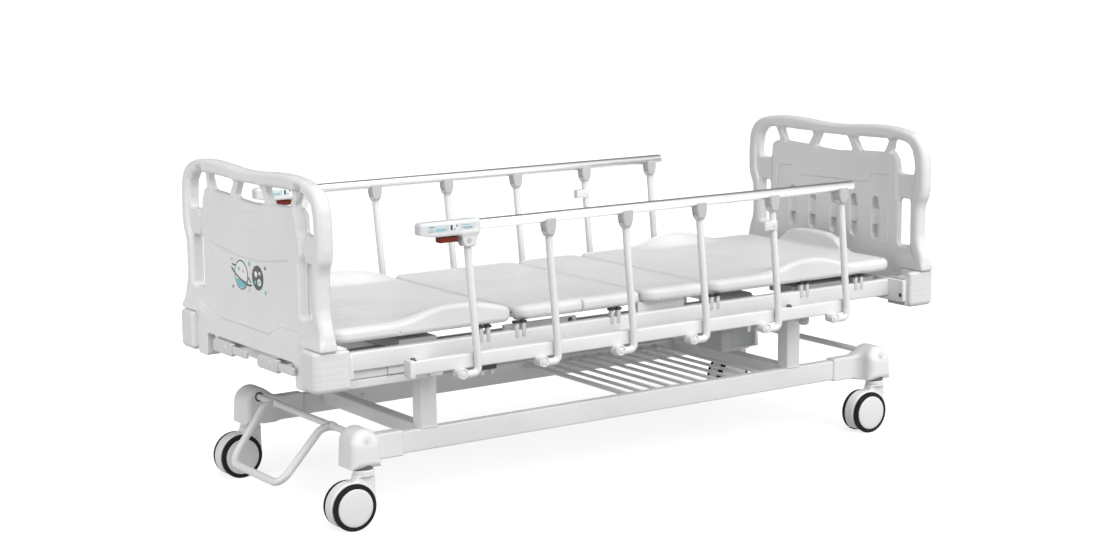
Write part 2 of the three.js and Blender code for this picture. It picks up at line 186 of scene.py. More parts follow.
def merge(*parts):
    V, F, n = [], [], 0
    for p in parts:
        V.append(p[0])
        F += [np.asarray(f, np.int64) + n for f in p[1]]
        n += len(p[0])
    return np.concatenate(V), F


def rrect(u0, u1, v0, v1, r, n=5):
    out = []
    for cu, cv, a0 in ((u1 - r, v1 - r, 0), (u0 + r, v1 - r, 90), (u0 + r, v0 + r, 180), (u1 - r, v0 + r, 270)):
        for i in range(n + 1):
            a = math.radians(a0 + 90 * i / n)
            out.append((cu + r * math.cos(a), cv + r * math.sin(a)))
    return np.array(out)


def fillet(pts, r, n=6, closed=True):
    """rounds the corners of a 2D or 3D polyline"""
    P = np.array(pts, float)
    N = len(P)
    rs = r if hasattr(r, "__len__") else [r] * N
    out = []
    for i in range(N):
        if not closed and i in (0, N - 1):
            out.append(P[i])
            continue
        p0, p, p1 = P[i - 1], P[i], P[(i + 1) % N]
        a, b = p0 - p, p1 - p
        la, lb = np.linalg.norm(a), np.linalg.norm(b)
        a, b = a / la, b / lb
        ang = math.acos(max(-1, min(1, float(a @ b))))
        if ang > math.pi - 2e-2 or rs[i] <= 0:
            out.append(p)
            continue
        t = min(rs[i] / math.tan(ang / 2), 0.48 * la, 0.48 * lb)
        rr = t * math.tan(ang / 2)
        m = a + b
        c = p + m / np.linalg.norm(m) * rr / math.sin(ang / 2)
        v0, v1 = p + a * t - c, p + b * t - c
        th = math.pi - ang
        for k in range(n + 1):
            s = k / n
            out.append(c + (math.sin((1 - s) * th) * v0 + math.sin(s * th) * v1) / math.sin(th))
    return np.array(out)


def area2(P):
    x, y = P[:, 0], P[:, 1]
    return 0.5 * float(np.sum(x * np.roll(y, -1) - np.roll(x, -1) * y))


def inset(P, e):
    """a counter-clockwise outline moved inward by e"""
    d = np.roll(P, -1, 0) - P
    ln = np.linalg.norm(d, axis=1, keepdims=True)
    d = d / np.maximum(ln, 1e-9)
    n1 = np.stack([d[:, 1], -d[:, 0]], 1)
    n0 = np.roll(n1, 1, 0)
    m = (n0 + n1) / np.maximum(1 + np.sum(n0 * n1, 1, keepdims=True), 0.35)
    return P - m * e


def prism(axis, outline, a, b, bev=0.0, nb=3, bev2=None):
    """extruded outline with rounded end edges; outline in (y,z), (x,z) or (x,y) for axis x, y, z"""
    P = np.array(outline, float)
    if area2(P) < 0:
        P = P[::-1]
    e2 = bev if bev2 is None else bev2
    rings = []
    if bev > 0:
        for k in range(nb + 1):
            th = math.pi / 2 * k / nb
            rings.append((bev * (1 - math.sin(th)), a + bev * (1 - math.cos(th))))
    else:
        rings.append((0, a))
    if e2 > 0:
        for k in range(nb, -1, -1):
            th = math.pi / 2 * k / nb
            rings.append((e2 * (1 - math.sin(th)), b - e2 * (1 - math.cos(th))))
    else:
        rings.append((0, b))
    n = len(P)
    V = []
    for e, t in rings:
        q = inset(P, e) if e > 0 else P
        if axis == "x":
            V.append(np.stack([np.full(n, t), q[:, 0], q[:, 1]], 1))
        elif axis == "y":
            V.append(np.stack([q[:, 0], np.full(n, t), q[:, 1]], 1))
        else:
            V.append(np.stack([q[:, 0], q[:, 1], np.full(n, t)], 1))
    V = np.concatenate(V)
    i = np.arange(n)
    j = (i + 1) % n
    F = []
    for k in range(len(rings) - 1):
        o, p = k * n, (k + 1) * n
        F.append(np.stack([o + i, o + j, p + j, p + i], 1))
    F.append(i[::-1][None, :])
    F.append((i + (len(rings) - 1) * n)[None, :])
    if axis == "y":
        F = [f[:, ::-1] for f in F]
    return V, F


def rbox(x0, x1, y0, y1, z0, z1, r=2.0, bev=None, axis="z", n=4):
    e = min(r, 2.0) if bev is None else bev
    if axis == "x":
        return prism("x", rrect(y0, y1, z0, z1, r, n), x0, x1, e)
    if axis == "y":
        return prism("y", rrect(x0, x1, z0, z1, r, n), y0, y1, e)
    return prism("z", rrect(x0, x1, y0, y1, r, n), z0, z1, e)


def tube(path, r, seg=20, ends=1.0, closed=False):
    """round tube along a polyline with lightly rounded ends; r may be a list"""
    P = np.array(path, float)
    rr = np.full(len(P), float(r)) if not hasattr(r, "__len__") else np.array(r, float)
    if not closed and ends > 0:
        t0 = (P[1] - P[0]) / np.linalg.norm(P[1] - P[0])
        t1 = (P[-2] - P[-1]) / np.linalg.norm(P[-2] - P[-1])
        P = np.concatenate([[P[0], P[0] + t0 * ends * 0.3, P[0] + t0 * ends], P[1:-1], [P[-1] + t1 * ends, P[-1] + t1 * ends * 0.3, P[-1]]])
        rr = np.concatenate([[rr[0] - ends, rr[0] - ends * 0.3, rr[0]], rr[1:-1], [rr[-1], rr[-1] - ends * 0.3, rr[-1] - ends]])
    n = len(P)
    if closed:
        T = np.roll(P, -1, 0) - np.roll(P, 1, 0)
    else:
        T = np.empty_like(P)
        T[0], T[-1] = P[1] - P[0], P[-1] - P[-2]
        d = P[1:] - P[:-1]
        d = d / np.linalg.norm(d, axis=1, keepdims=True)
        T[1:-1] = d[:-1] + d[1:]
    T = T / np.linalg.norm(T, axis=1, keepdims=True)
    ref = A(0, 0, 1) if abs(T[0][2]) < 0.9 else A(1, 0, 0)
    N = np.cross(T[0], ref)
    N = N / np.linalg.norm(N)
    V = []
    a = 2 * math.pi * np.arange(seg) / seg
    for k in range(n):
        N = N - T[k] * float(N @ T[k])
        N = N / np.linalg.norm(N)
        B = np.cross(T[k], N)
        V.append(P[k] + rr[k] * (np.cos(a)[:, None] * N + np.sin(a)[:, None] * B))
    V = np.concatenate(V)
    i = np.arange(seg)
    j = (i + 1) % seg
    F = []
    for k in range(n if closed else n - 1):
        o, p = k * seg, ((k + 1) % n) * seg
        F.append(np.stack([o + i, o + j, p + j, p + i], 1))
    if not closed:
        F.append(i[::-1][None, :])
        F.append((i + (n - 1) * seg)[None, :])
    return V, F


def lathe(prof, seg=40, axis=(0, 0, 1), o=(0, 0, 0)):
    """turned shape; profile (radius, station along the axis) from one pole to the other"""
    prof = [(float(r), float(t)) for r, t in prof]
    if prof[0][1] > prof[-1][1]:
        prof = prof[::-1]
    a = 2 * math.pi * np.arange(seg) / seg
    V, F, prev = [], [], None
    cnt = 0
    i = np.arange(seg)
    j = (i + 1) % seg
    for r, t in prof:
        if r < 1e-6:
            V.append(A([0, 0, t]).reshape(1, 3))
            cur = np.array([cnt])
            cnt += 1
        else:
            V.append(np.stack([r * np.cos(a), r * np.sin(a), np.full(seg, t)], 1))
            cur = cnt + i
            cnt += seg
        if prev is not None:
            if len(prev) == 1 and len(cur) > 1:
                F.append(np.stack([np.full(seg, prev[0]), cur[j], cur[i]], 1))
            elif len(cur) == 1 and len(prev) > 1:
                F.append(np.stack([prev[i], prev[j], np.full(seg, cur[0])], 1))
            elif len(cur) > 1:
                F.append(np.stack([prev[i], prev[j], cur[j], cur[i]], 1))
        prev = cur
    if prof[0][0] > 1e-6:
        F.append(i[::-1][None, :])
    if prof[-1][0] > 1e-6:
        F.append(prev[None, :])
    return orient((np.concatenate(V), F), axis, o)


def bolt(o, n, r=6.0, h=4.0, seg=18):
    """button head with a socket recess"""
    return lathe([(0, -2), (r, -2), (r, h * 0.35), (r * 0.93, h * 0.7), (r * 0.72, h), (r * 0.45, h), (r * 0.42, h * 0.45), (0, h * 0.4)], seg, n, o)


def hexbolt(o, n, r=7.0, h=5.0):
    P = np.array([(r * math.cos(math.radians(60 * k)), r * math.sin(math.radians(60 * k))) for k in range(6)])
    return orient(merge(prism("z", fillet(P, 0.8, 2), 0, h, 0.8, 2), lathe([(0, -2), (r * 1.25, -2), (r * 1.25, 0.9), (r * 1.15, 1.3), (0, 1.3)], 18)), n, o)


class Kit:
    def __init__(self):
        self.parts = []

    def add(self, part, mat="coat"):
        self.parts.append((part, mat))
        return self

    def flipped(self, *axes):
        k = Kit()
        k.parts = [(flip(p, *axes), m) for p, m in self.parts]
        return k

    def moved(self, dx=0, dy=0, dz=0):
        k = Kit()
        k.parts = [(mv(p, dx, dy, dz), m) for p, m in self.parts]
        return k

    def turned(self, ang, o=(0, 0)):
        k = Kit()
        k.parts = [(turn_z(p, ang, o), m) for p, m in self.parts]
        return k

    def build(self, name, body, nodes=(), slot=None, angle=36, normals=None):
        names, V, F, M, n = [], [], [], [], 0
        for (v, f), m in self.parts:
            if m not in names:
                names.append(m)
            V.append(v)
            for q in f:
                F.append(np.asarray(q, np.int64) + n)
                M.append(np.full(len(q), names.index(m)))
            n += len(v)
        me = bpy.data.meshes.new(name)
        co = (np.concatenate(V) * MM).astype(np.float32)
        loops = np.concatenate([q.ravel() for q in F]).astype(np.int32)
        sizes = np.concatenate([np.full(len(q), q.shape[1]) for q in F])
        starts = np.concatenate([[0], np.cumsum(sizes)[:-1]]).astype(np.int32)
        me.vertices.add(len(co))
        me.vertices.foreach_set("co", co.ravel())
        me.loops.add(len(loops))
        me.loops.foreach_set("vertex_index", loops)
        me.polygons.add(len(sizes))
        me.polygons.foreach_set("loop_start", starts)
        me.polygons.foreach_set("material_index", np.concatenate(M).astype(np.int32))
        me.polygons.foreach_set("use_smooth", np.ones(len(sizes), bool))
        me.update(calc_edges=True)
        me.validate()
        for m in names:
            me.materials.append(MATS[m])
        if normals is None:
            me.set_sharp_from_angle(angle=math.radians(angle))
        else:
            me.normals_split_custom_set_from_vertices(normals.astype(np.float32))
        o = bpy.data.objects.new(name, me)
        scene.collection.objects.link(o)
        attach(o, body)
        if nodes:
            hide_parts(*([nodes] if isinstance(nodes, str) else nodes))
        return o


# ---------------------------------------------------------------------
# signed-distance shapes, meshed by surface nets
# ---------------------------------------------------------------------


def rmax(a, b, r):
    return np.minimum(np.maximum(a + r, b + r), 0) + np.hypot(np.maximum(a + r, 0), np.maximum(b + r, 0)) - r


def smin(a, b, k):
    h = np.clip(0.5 + 0.5 * (b - a) / k, 0, 1)
    return b * (1 - h) + a * h - k * h * (1 - h)


def smax(a, b, k):
    return -smin(-a, -b, k)


def sstep(a, b, x):
    t = np.clip((x - a) / (b - a), 0, 1)
    return t * t * (3 - 2 * t)


def box3(x, y, z, lo, hi, r):
    q = [np.abs(v - (l + h) / 2) - (h - l) / 2 + r for v, l, h in zip((x, y, z), lo, hi)]
    return np.sqrt(np.maximum(q[0], 0) ** 2 + np.maximum(q[1], 0) ** 2 + np.maximum(q[2], 0) ** 2) + np.minimum(np.maximum(np.maximum(q[0], q[1]), q[2]), 0) - r


def rect2(u, v, u0, u1, v0, v1, r):
    a, b = np.abs(u - (u0 + u1) / 2) - (u1 - u0) / 2 + r, np.abs(v - (v0 + v1) / 2) - (v1 - v0) / 2 + r
    return np.hypot(np.maximum(a, 0), np.maximum(b, 0)) + np.minimum(np.maximum(a, b), 0) - r


def seg_dist(u, v, pts):
    d = None
    for (a0, a1), (b0, b1) in zip(pts[:-1], pts[1:]):
        e0, e1 = b0 - a0, b1 - a1
        t = np.clip(((u - a0) * e0 + (v - a1) * e1) / (e0 * e0 + e1 * e1), 0, 1)
        q = np.hypot(u - a0 - e0 * t, v - a1 - e1 * t)
        d = q if d is None else np.minimum(d, q)
    return d


def poly_sd(u, v, poly):
    P = np.asarray(poly, float)
    shape = np.broadcast(u, v).shape
    d = np.full(shape, 1e18)
    s = np.zeros(shape, bool)
    for a, b in zip(P, np.roll(P, -1, 0)):
        e0, e1 = b - a
        w0, w1 = u - a[0], v - a[1]
        t = np.clip((w0 * e0 + w1 * e1) / (e0 * e0 + e1 * e1), 0, 1)
        d = np.minimum(d, (w0 - e0 * t) ** 2 + (w1 - e1 * t) ** 2)
        c1, c2, c3 = v >= a[1], v < b[1], e0 * w1 > e1 * w0
        s = s ^ ((c1 & c2 & c3) | (~c1 & ~c2 & ~c3))
    d = np.sqrt(d)
    return np.where(s, -d, d)


class Field2:
    """a function of two coordinates, tabulated and read back bilinearly"""

    def __init__(self, fn, u0, u1, v0, v1, step=1.0):
        self.o, self.s = (u0, v0), step
        u = np.arange(u0, u1 + step, step)
        v = np.arange(v0, v1 + step, step)
        self.t = fn(u[:, None], v[None, :]).astype(np.float32)

    def __call__(self, u, v):
        a = np.clip((u - self.o[0]) / self.s, 0, self.t.shape[0] - 1.001)
        b = np.clip((v - self.o[1]) / self.s, 0, self.t.shape[1] - 1.001)
        i, j = a.astype(np.int32), b.astype(np.int32)
        fa, fb = a - i, b - j
        t = self.t
        return t[i, j] * (1 - fa) * (1 - fb) + t[i + 1, j] * fa * (1 - fb) + t[i, j + 1] * (1 - fa) * fb + t[i + 1, j + 1] * fa * fb


CORNERS = [(0, 0, 0), (1, 0, 0), (0, 1, 0), (1, 1, 0), (0, 0, 1), (1, 0, 1), (0, 1, 1), (1, 1, 1)]
EDGES = [(0, 1), (2, 3), (4, 5), (6, 7), (0, 2), (1, 3), (4, 6), (5, 7), (0, 4), (1, 5), (2, 6), (3, 7)]


def gradient(f, P, e):
    x, y, z = P[:, 0], P[:, 1], P[:, 2]
    g = np.stack([f(x + e, y, z) - f(x - e, y, z), f(x, y + e, z) - f(x, y - e, z), f(x, y, z + e) - f(x, y, z - e)], 1) / (2 * e)
    return g


def nets(f, lo, hi, h, project=2, ratio=1.0, eps=0.7):
    """mesh of f = 0 in the box, projected back onto the surface, with the surface's own normals"""
    k = 1.0
    h = np.array([h] * 3 if not hasattr(h, "__len__") else h, float) * k
    ax = [lo[i] + h[i] * np.arange(int(math.ceil((hi[i] - lo[i]) / h[i])) + 1) for i in range(3)]
    D = f(ax[0][:, None, None], ax[1][None, :, None], ax[2][None, None, :])
    D = np.ascontiguousarray(np.broadcast_to(D, tuple(len(a) for a in ax)), dtype=np.float32)
    S = D < 0
    c = np.zeros(tuple(n - 1 for n in D.shape), np.int8)
    for i, j, m in CORNERS:
        c += S[i:S.shape[0] - 1 + i, j:S.shape[1] - 1 + j, m:S.shape[2] - 1 + m]
    act = (c > 0) & (c < 8)
    idx = np.full(act.shape, -1, np.int32)
    cells = np.argwhere(act)
    idx[act] = np.arange(len(cells))
    P = np.zeros((len(cells), 3))
    w = np.zeros(len(cells))
    val = [D[cells[:, 0] + i, cells[:, 1] + j, cells[:, 2] + m] for i, j, m in CORNERS]
    for a, b in EDGES:
        fa, fb = val[a], val[b]
        m = (fa < 0) != (fb < 0)
        t = fa[m] / (fa[m] - fb[m])
        P[m] += cells[m] + A(*CORNERS[a]) + t[:, None] * (A(*CORNERS[b]) - A(*CORNERS[a]))
        w[m] += 1
    P = np.array([a[0] for a in ax]) + P / w[:, None] * h
    Fs = []
    for axis in range(3):
        b, d = (axis + 1) % 3, (axis + 2) % 3
        s0 = [slice(1, -1)] * 3
        s1 = [slice(1, -1)] * 3
        s0[axis], s1[axis] = slice(0, -1), slice(1, None)
        A0, A1 = S[tuple(s0)], S[tuple(s1)]
        e = np.argwhere(A0 != A1)
        if not len(e):
            continue
        ins = A0[tuple(e.T)]
        e = e + np.array([0 if q == axis else 1 for q in range(3)])

        def at(db, dd):
            q = e.copy()
            q[:, b] += db
            q[:, d] += dd
            return idx[q[:, 0], q[:, 1], q[:, 2]]

        quad = np.stack([at(-1, -1), at(0, -1), at(0, 0), at(-1, 0)], 1)
        quad[~ins] = quad[~ins][:, ::-1]
        Fs.append(quad)
    F = np.concatenate(Fs)
    hm = float(h.max())

    def settle(P, times):
        for _ in range(times):
            v = f(P[:, 0], P[:, 1], P[:, 2])
            g = gradient(f, P, eps)
            n2 = np.maximum(np.sum(g * g, 1), 0.05)
            st = g * (v / n2)[:, None]
            ln = np.linalg.norm(st, axis=1, keepdims=True)
            P = P - st * np.minimum(1, 0.6 * hm / np.maximum(ln, 1e-9))
        return P

    P = settle(P, project)
    if ratio < 1.0:
        me = bpy.data.meshes.new("tmp")
        me.vertices.add(len(P))
        me.vertices.foreach_set("co", P.astype(np.float32).ravel())
        me.loops.add(F.size)
        me.loops.foreach_set("vertex_index", F.astype(np.int32).ravel())
        me.polygons.add(len(F))
        me.polygons.foreach_set("loop_start", np.arange(0, F.size, 4, dtype=np.int32))
        me.update(calc_edges=True)
        o = bpy.data.objects.new("tmp", me)
        scene.collection.objects.link(o)
        md = o.modifiers.new("d", "DECIMATE")
        md.ratio = ratio
        dg = bpy.context.evaluated_depsgraph_get()
        m2 = bpy.data.meshes.new_from_object(o.evaluated_get(dg))
        P = np.empty(len(m2.vertices) * 3, np.float32)
        m2.vertices.foreach_get("co", P)
        P = P.reshape(-1, 3).astype(float)
        m2.calc_loop_triangles()
        T = np.empty(len(m2.loop_triangles) * 3, np.int32)
        m2.loop_triangles.foreach_get("vertices", T)
        F = T.reshape(-1, 3)
        bpy.data.objects.remove(o)
        bpy.data.meshes.remove(me)
        bpy.data.meshes.remove(m2)
        P = settle(P, 1)
    g = gradient(f, P, eps)
    N = g / np.maximum(np.linalg.norm(g, axis=1, keepdims=True), 1e-9)
    return P, F, N


class Shell:
    """a meshed signed-distance shape with its own normals"""

    def __init__(self, P, F, N):
        self.P, self.F, self.N = P, F, N

    def flipped(self, *axes):
        P, F, N = self.P.copy(), self.F, self.N.copy()
        for a in axes:
            P[:, a] *= -1
            N[:, a] *= -1
            F = F[:, ::-1]
        return Shell(P, F, N)

    def moved(self, dx=0, dy=0, dz=0):
        return Shell(self.P + A(dx, dy, dz), self.F, self.N)

    def turned(self, ang):
        c, s = math.cos(ang), math.sin(ang)
        M = np.array([[c, -s, 0], [s, c, 0], [0, 0, 1]])
        return Shell(self.P @ M.T, self.F, self.N @ M.T)

    def build(self, name, body, nodes=(), slot=None, mat="coat", by=None):
        k = Kit()
        if by is None:
            k.add((self.P, [self.F]), mat)
        else:                                   # faces shared out to several finishes
            c = self.P[self.F].mean(1)
            pick = by(c[:, 0], c[:, 1], c[:, 2])
            first = True
            for q, m in enumerate(mat):
                sel = self.F[pick == q]
                if len(sel):
                    k.parts.append(((self.P if first else np.zeros((0, 3)), [sel]), m))
                    first = False
            # all faces index the first block of vertices
            k.parts = [((p[0], p[1]), m) for p, m in k.parts]
        return k.build(name, body, nodes, slot, normals=self.N) if by is None else k.build_shared(name, body, nodes, slot, self.N)


def _build_shared(self, name, body, nodes, slot, N):
    """one vertex block, faces of several finishes"""
    V = self.parts[0][0][0]
    merged = Kit()
    merged.parts = [((V, self.parts[0][0][1]), self.parts[0][1])]
    n = len(V)
    for p, m in self.parts[1:]:
        merged.parts.append(((np.zeros((0, 3)), [f - n for f in p[1]]), m))
    return merged.build(name, body, nodes, slot, normals=N)


Kit.build_shared = _build_shared
SIDES = (("left", -1), ("right", 1))
ENDS = (("foot", -1), ("head", 1))


def sides(sx, sy):
    """axes to mirror for a shape made at +X, +Y"""
    return ([0] if sx < 0 else []) + ([1] if sy < 0 else [])


# =====================================================================
# end boards
# =====================================================================
half_edge = [(0, 910), (60, 912), (130, 917), (200, 920), (262, 919), (318, 913), (358, 903), (384, 888), (400, 868), (409, 842), (413, 800), (413, 742),
             (409, 714), (399, 697), (393, 680), (391, 640), (391, 592), (396, 570), (404, 551), (411, 530), (414, 505), (414, 488.6),
             (321.7, 488.6), (321.7, 380), (316, 374), (268, 374), (262, 380), (262, 431), (254, 439)]
board_edge = half_edge + [(-y, z) for y, z in half_edge[:0:-1]]
edge_r = [60 if z > 495 else 6 for y, z in board_edge]
WIN3 = [(-64, 876), (64, 876), (90, 832), (70, 828), (0, 825), (-70, 828), (-90, 832)]
WIN2 = [(90, 878), (256, 881), (231, 837), (121, 833)]
WIN1 = [(281, 881), (316, 878), (343, 868), (357, 852), (363, 832), (364, 800), (362, 783), (353, 776), (316, 776), (301, 783), (298, 806), (293, 824), (280, 834), (256, 838)]


def mirror_y(poly):
    return [(-y, z) for y, z in poly][::-1]


R1 = [9, 14, 14, 14, 14, 20, 12, 8, 8, 12, 20, 14, 14, 9]
windows = [fillet(WIN3, 9), fillet(WIN2, 9), fillet(mirror_y(WIN2), 9),
           fillet(WIN1, R1), fillet(mirror_y(WIN1), R1[::-1])]
B0 = (-426, 426, 366, 926)
f_out = Field2(lambda y, z: poly_sd(y, z, fillet(board_edge, edge_r, 5)), *B0)


def _holes(y, z):
    d = poly_sd(y, z, windows[0])
    for w in windows[1:]:
        d = np.minimum(d, poly_sd(y, z, w))
    for s in (-1, 1):
        d = np.minimum(d, rect2(s * y, z, 303, 352.5, 558, 703, 13))
    return d


f_hole = Field2(_holes, *B0)


def _lines_out(y, z):
    g = 0
    for pts in ([(246, 697), (95, 679), (60, 676), (-60, 676), (-222, 697)], [(268, 694), (236, 672), (196, 632)],
                [(290, 519), (175, 493), (-116, 492), (-175, 519), (-270, 520)]):
        g = g + 2.9 * np.exp(-(seg_dist(y, z, fillet(pts, 16, 5, closed=False)) / 2.3) ** 2)
    e = np.sqrt(((y + 11) / 92.0) ** 2 + ((z - 778) / 24.0) ** 2)
    g = g + 1.0 * np.exp(-((e - 1) * 30 / 2.6) ** 2)
    return g


def _lines_in(y, z):
    g = 0
    for pts in ([(266, 590), (266, 690), (264, 752), (250, 759), (195, 761)], [(160, 733), (6, 736), (-143, 738), (-165, 743), (-183, 766), (-259, 768)],
                [(-262, 690), (-262, 600), (-258, 560), (-240, 546)]):
        g = g + 2.6 * np.exp(-(seg_dist(y, z, fillet(pts, 14, 5, closed=False)) / 2.3) ** 2)
    return g


f_gout = Field2(_lines_out, *B0)
f_gin = Field2(_lines_in, *B0)


def board(x, y, z):
    o, hol = f_out(y, z), f_hole(y, z)
    d2 = np.maximum(o, -hol)
    ay = np.abs(y)
    low = sstep(575, 520, z)
    ring = sstep(-5, 5, o + 36) * (1 - low) + sstep(-16, 10, o + 34) * low * sstep(470, 500, z)
    top = 825 + 13 * (ay / 256) ** 2
    strut = sstep(-3, 5, z - top) * (1 - ring) * sstep(345, 330, ay)
    bridge = sstep(286, 300, ay) * sstep(694, 708, z) * sstep(840, 800, z) * (1 - ring)
    pan = 1 - ring - strut
    half = 21 * ring + 17.2 * pan + 10.5 * strut - 4.0 * bridge * pan
    cen = 1021 - 1.5 * strut
    R = 15 * ring + 8 * pan + 3.2 * strut
    R = R * (1 - 0.68 * sstep(522, 494, z))
    half = half + np.where(x > 1021, 7.0 * sstep(536, 494, z), 0.0)
    half = half - np.where(x > 1021, 23.0 * sstep(27, -2, hol) * sstep(262, 282, ay) * sstep(316, 306, ay) * sstep(550, 566, z), 0.0)
    face = np.where(x > cen, x - cen + f_gout(y, z), cen - x + f_gin(y, z)) - half
    sd = rmax(d2, face, R)
    pk = None
    for yc in (188, 92, -9, -103, -201):
        q = rect2(y, z, yc - 16.5, yc + 16.5, 566, 698, 16)
        pk = q if pk is None else np.minimum(pk, q)
    dep = 22 - 13.5 * sstep(604, 611, z) * sstep(664, 657, z)
    sd = smax(sd, -smax(pk, x - (1003.8 + dep), 2.0), 2.0)
    for yc in (-230, 230):
        sd = np.maximum(sd, -np.maximum(np.hypot(x - 1021, y - yc) - 8, z - 505))
    return sd


V_board = Shell(*nets(board, (994, -422, 368), (1055, 422, 926), (2.0, 2.0, 2.0), project=2, ratio=0.30))
V_board.build("headboard_shell", "headboard", "headboard", "board_shell", "board")
V_board.flipped(0).build("footboard_shell", "footboard", "footboard", "board_shell", "board")

# printed motif on the outer face of the foot board: two planets and a few stars
DECAL_X = -1038.2


def ring_pts(cy, cz, ry, rz, turn=0.0, n=56, a0=0.0, a1=360.0):
    c, t = math.cos(math.radians(turn)), math.sin(math.radians(turn))
    out = []
    for i in range(n):
        a = math.radians(a0 + (a1 - a0) * i / (n if a1 - a0 >= 360 else n - 1))
        u, v = ry * math.cos(a), rz * math.sin(a)
        out.append((cy + c * u - t * v, cz + t * u + c * v))
    return out


def star_pts(cy, cz, r, turn=0.0):
    out = []
    for i in range(10):
        a = math.radians(90 + turn + 36 * i)
        q = r if i % 2 == 0 else r * 0.44
        out.append((cy + q * math.cos(a), cz + q * math.sin(a)))
    return fillet(out, 0.8, 2)


def decal(k, pts, level, mat):
    k.add(prism("x", np.array(pts), DECAL_X - 0.22 * level, DECAL_X + 0.6), mat)


k = Kit()
P1, P2 = (46, 628), (-52, 632)
back = ring_pts(*P1, 66, 15, 18, 64, 20, 160)
decal(k, back + ring_pts(*P1, 57, 10, 18, 64, 20, 160)[::-1], 1, "ink")
decal(k, ring_pts(*P1, 40, 40), 2, "ink")
decal(k, ring_pts(*P1, 36.5, 36.5), 3, "label_white")
decal(k, [p for p in ring_pts(*P1, 36.5, 36.5, 0, 30, 200, 250)] + [p for p in ring_pts(*P1, 36.5, 36.5, 0, 30, -70, -20)], 4, "teal")
decal(k, ring_pts(P1[0] + 13, P1[1] + 15, 6.5, 5.0, 20), 4, "teal")
decal(k, ring_pts(P1[0] - 14, P1[1] + 12, 4.5, 4.5), 4, "pink")
front = ring_pts(*P1, 66, 15, 18, 64, 180, 340)
decal(k, front + ring_pts(*P1, 57, 10, 18, 64, 180, 340)[::-1], 5, "ink")
decal(k, ring_pts(*P2, 33, 33), 2, "ink")
decal(k, ring_pts(P2[0] + 10, P2[1] + 9, 8.5, 8.0), 3, "label_white")
decal(k, ring_pts(P2[0] - 12, P2[1] + 13, 5.5, 5.0), 3, "label_white")
decal(k, ring_pts(P2[0] - 9, P2[1] - 11, 10.5, 9.5), 3, "label_white")
decal(k, ring_pts(P2[0] + 14, P2[1] - 13, 5.0, 5.0), 3, "teal")
decal(k, ring_pts(P2[0] - 9, P2[1] - 11, 4.5, 4.0), 4, "teal")
for cy, cz, r, m in ((-4, 664, 10, "teal"), (0, 592, 7.5, "pink"), (-97, 663, 7.5, "ink"), (-96, 598, 9, "teal"), (101, 664, 7, "pink"), (98, 590, 6.5, "ink")):
    decal(k, star_pts(cy, cz, r, cy), 2, m)
k.build("footboard_motif", "footboard")

# =====================================================================
# deck
# =====================================================================


def swell(pts):
    """smooth height over the deck's top face along x"""
    xs = np.arange(pts[0][0] - 60, pts[-1][0] + 60, 2.0)
    h = np.interp(xs, [q[0] for q in pts], [q[1] for q in pts], 0, 0)
    w = np.hanning(31)
    return xs, np.convolve(h, w / w.sum(), "same")


WING_LEG = swell([(-790, 0), (-734, 9), (-688, 25), (-640, 33), (-565, 32), (-503, 22), (-455, 9), (-430, 0), (-400, 0)])
WING_BACK = swell([(440, 0), (485, 8), (530, 22), (585, 33), (640, 34), (690, 27), (728, 15), (785, 0)])
HUMP = fillet([(-175, 500), (175, 500), (170, 514), (158, 524), (140, 543), (112, 565), (70, 576), (0, 579), (-70, 576), (-112, 565), (-140, 543), (-158, 524), (-170, 514)], 20, 4)


def deck(x0, x1, r0, r1, ribs=(), wing=None, hump=False, slots=(), creases=(), notch=(), dimples=(), split=None):
    xm = (x0 + x1) / 2

    def f(x, y, z):
        ay = np.abs(y)
        r = np.where(x < xm, r0, r1)
        d2 = rect2(x, y, x0, x1, -345, 345, r)
        g = 0
        ramp = sstep(318, 300, ay)
        for xr in ribs:
            g = g + 2.0 * np.exp(-((x - xr) / 3.4) ** 2) * ramp
        for xr in creases:
            g = g + 2.4 * np.exp(-((x - xr) / 3.0) ** 2) * sstep(322, 312, ay)
        g = g + 3.1 * np.exp(-((d2 + 21) / 2.7) ** 2)
        up = z > 508
        lift = 0 if wing is None else np.interp(x, *wing) * sstep(238, 334, ay)
        face = np.where(up, z - 508 + g - lift, 508 - z) - 18
        sd = rmax(d2, face, 15.0)
        for a, b, yc, w, dp in slots:
            q = rect2(x, y, a, b, yc - w / 2, yc + w / 2, w / 2 - 0.1)
            sd = smax(sd, -np.maximum(q, 526 - dp - z), 1.6)
        for xc, yc in dimples:
            sd = smax(sd, -np.maximum(np.hypot(x - xc, y - yc) - 4, 520 - z), 1.2)
        if hump:
            w2 = poly_sd(y, z, HUMP)
            sd = smin(sd, rmax(w2, np.abs(x - 929) - 16, 9), 16)
        if split is not None:
            sd = smax(sd, -np.maximum(np.abs(x - split) - 2.2, 331 - ay), 7.0)
        for xn, zn in notch:
            sd = smax(sd, -(np.sqrt((x - xn) ** 2 + (ay - 347) ** 2 + (z - zn) ** 2) - 5.2), 1.5)
        return sd

    return f


def ribs_at(a, b, n):
    return [a + (b - a) * (i + 0.5) / n for i in range(n)]


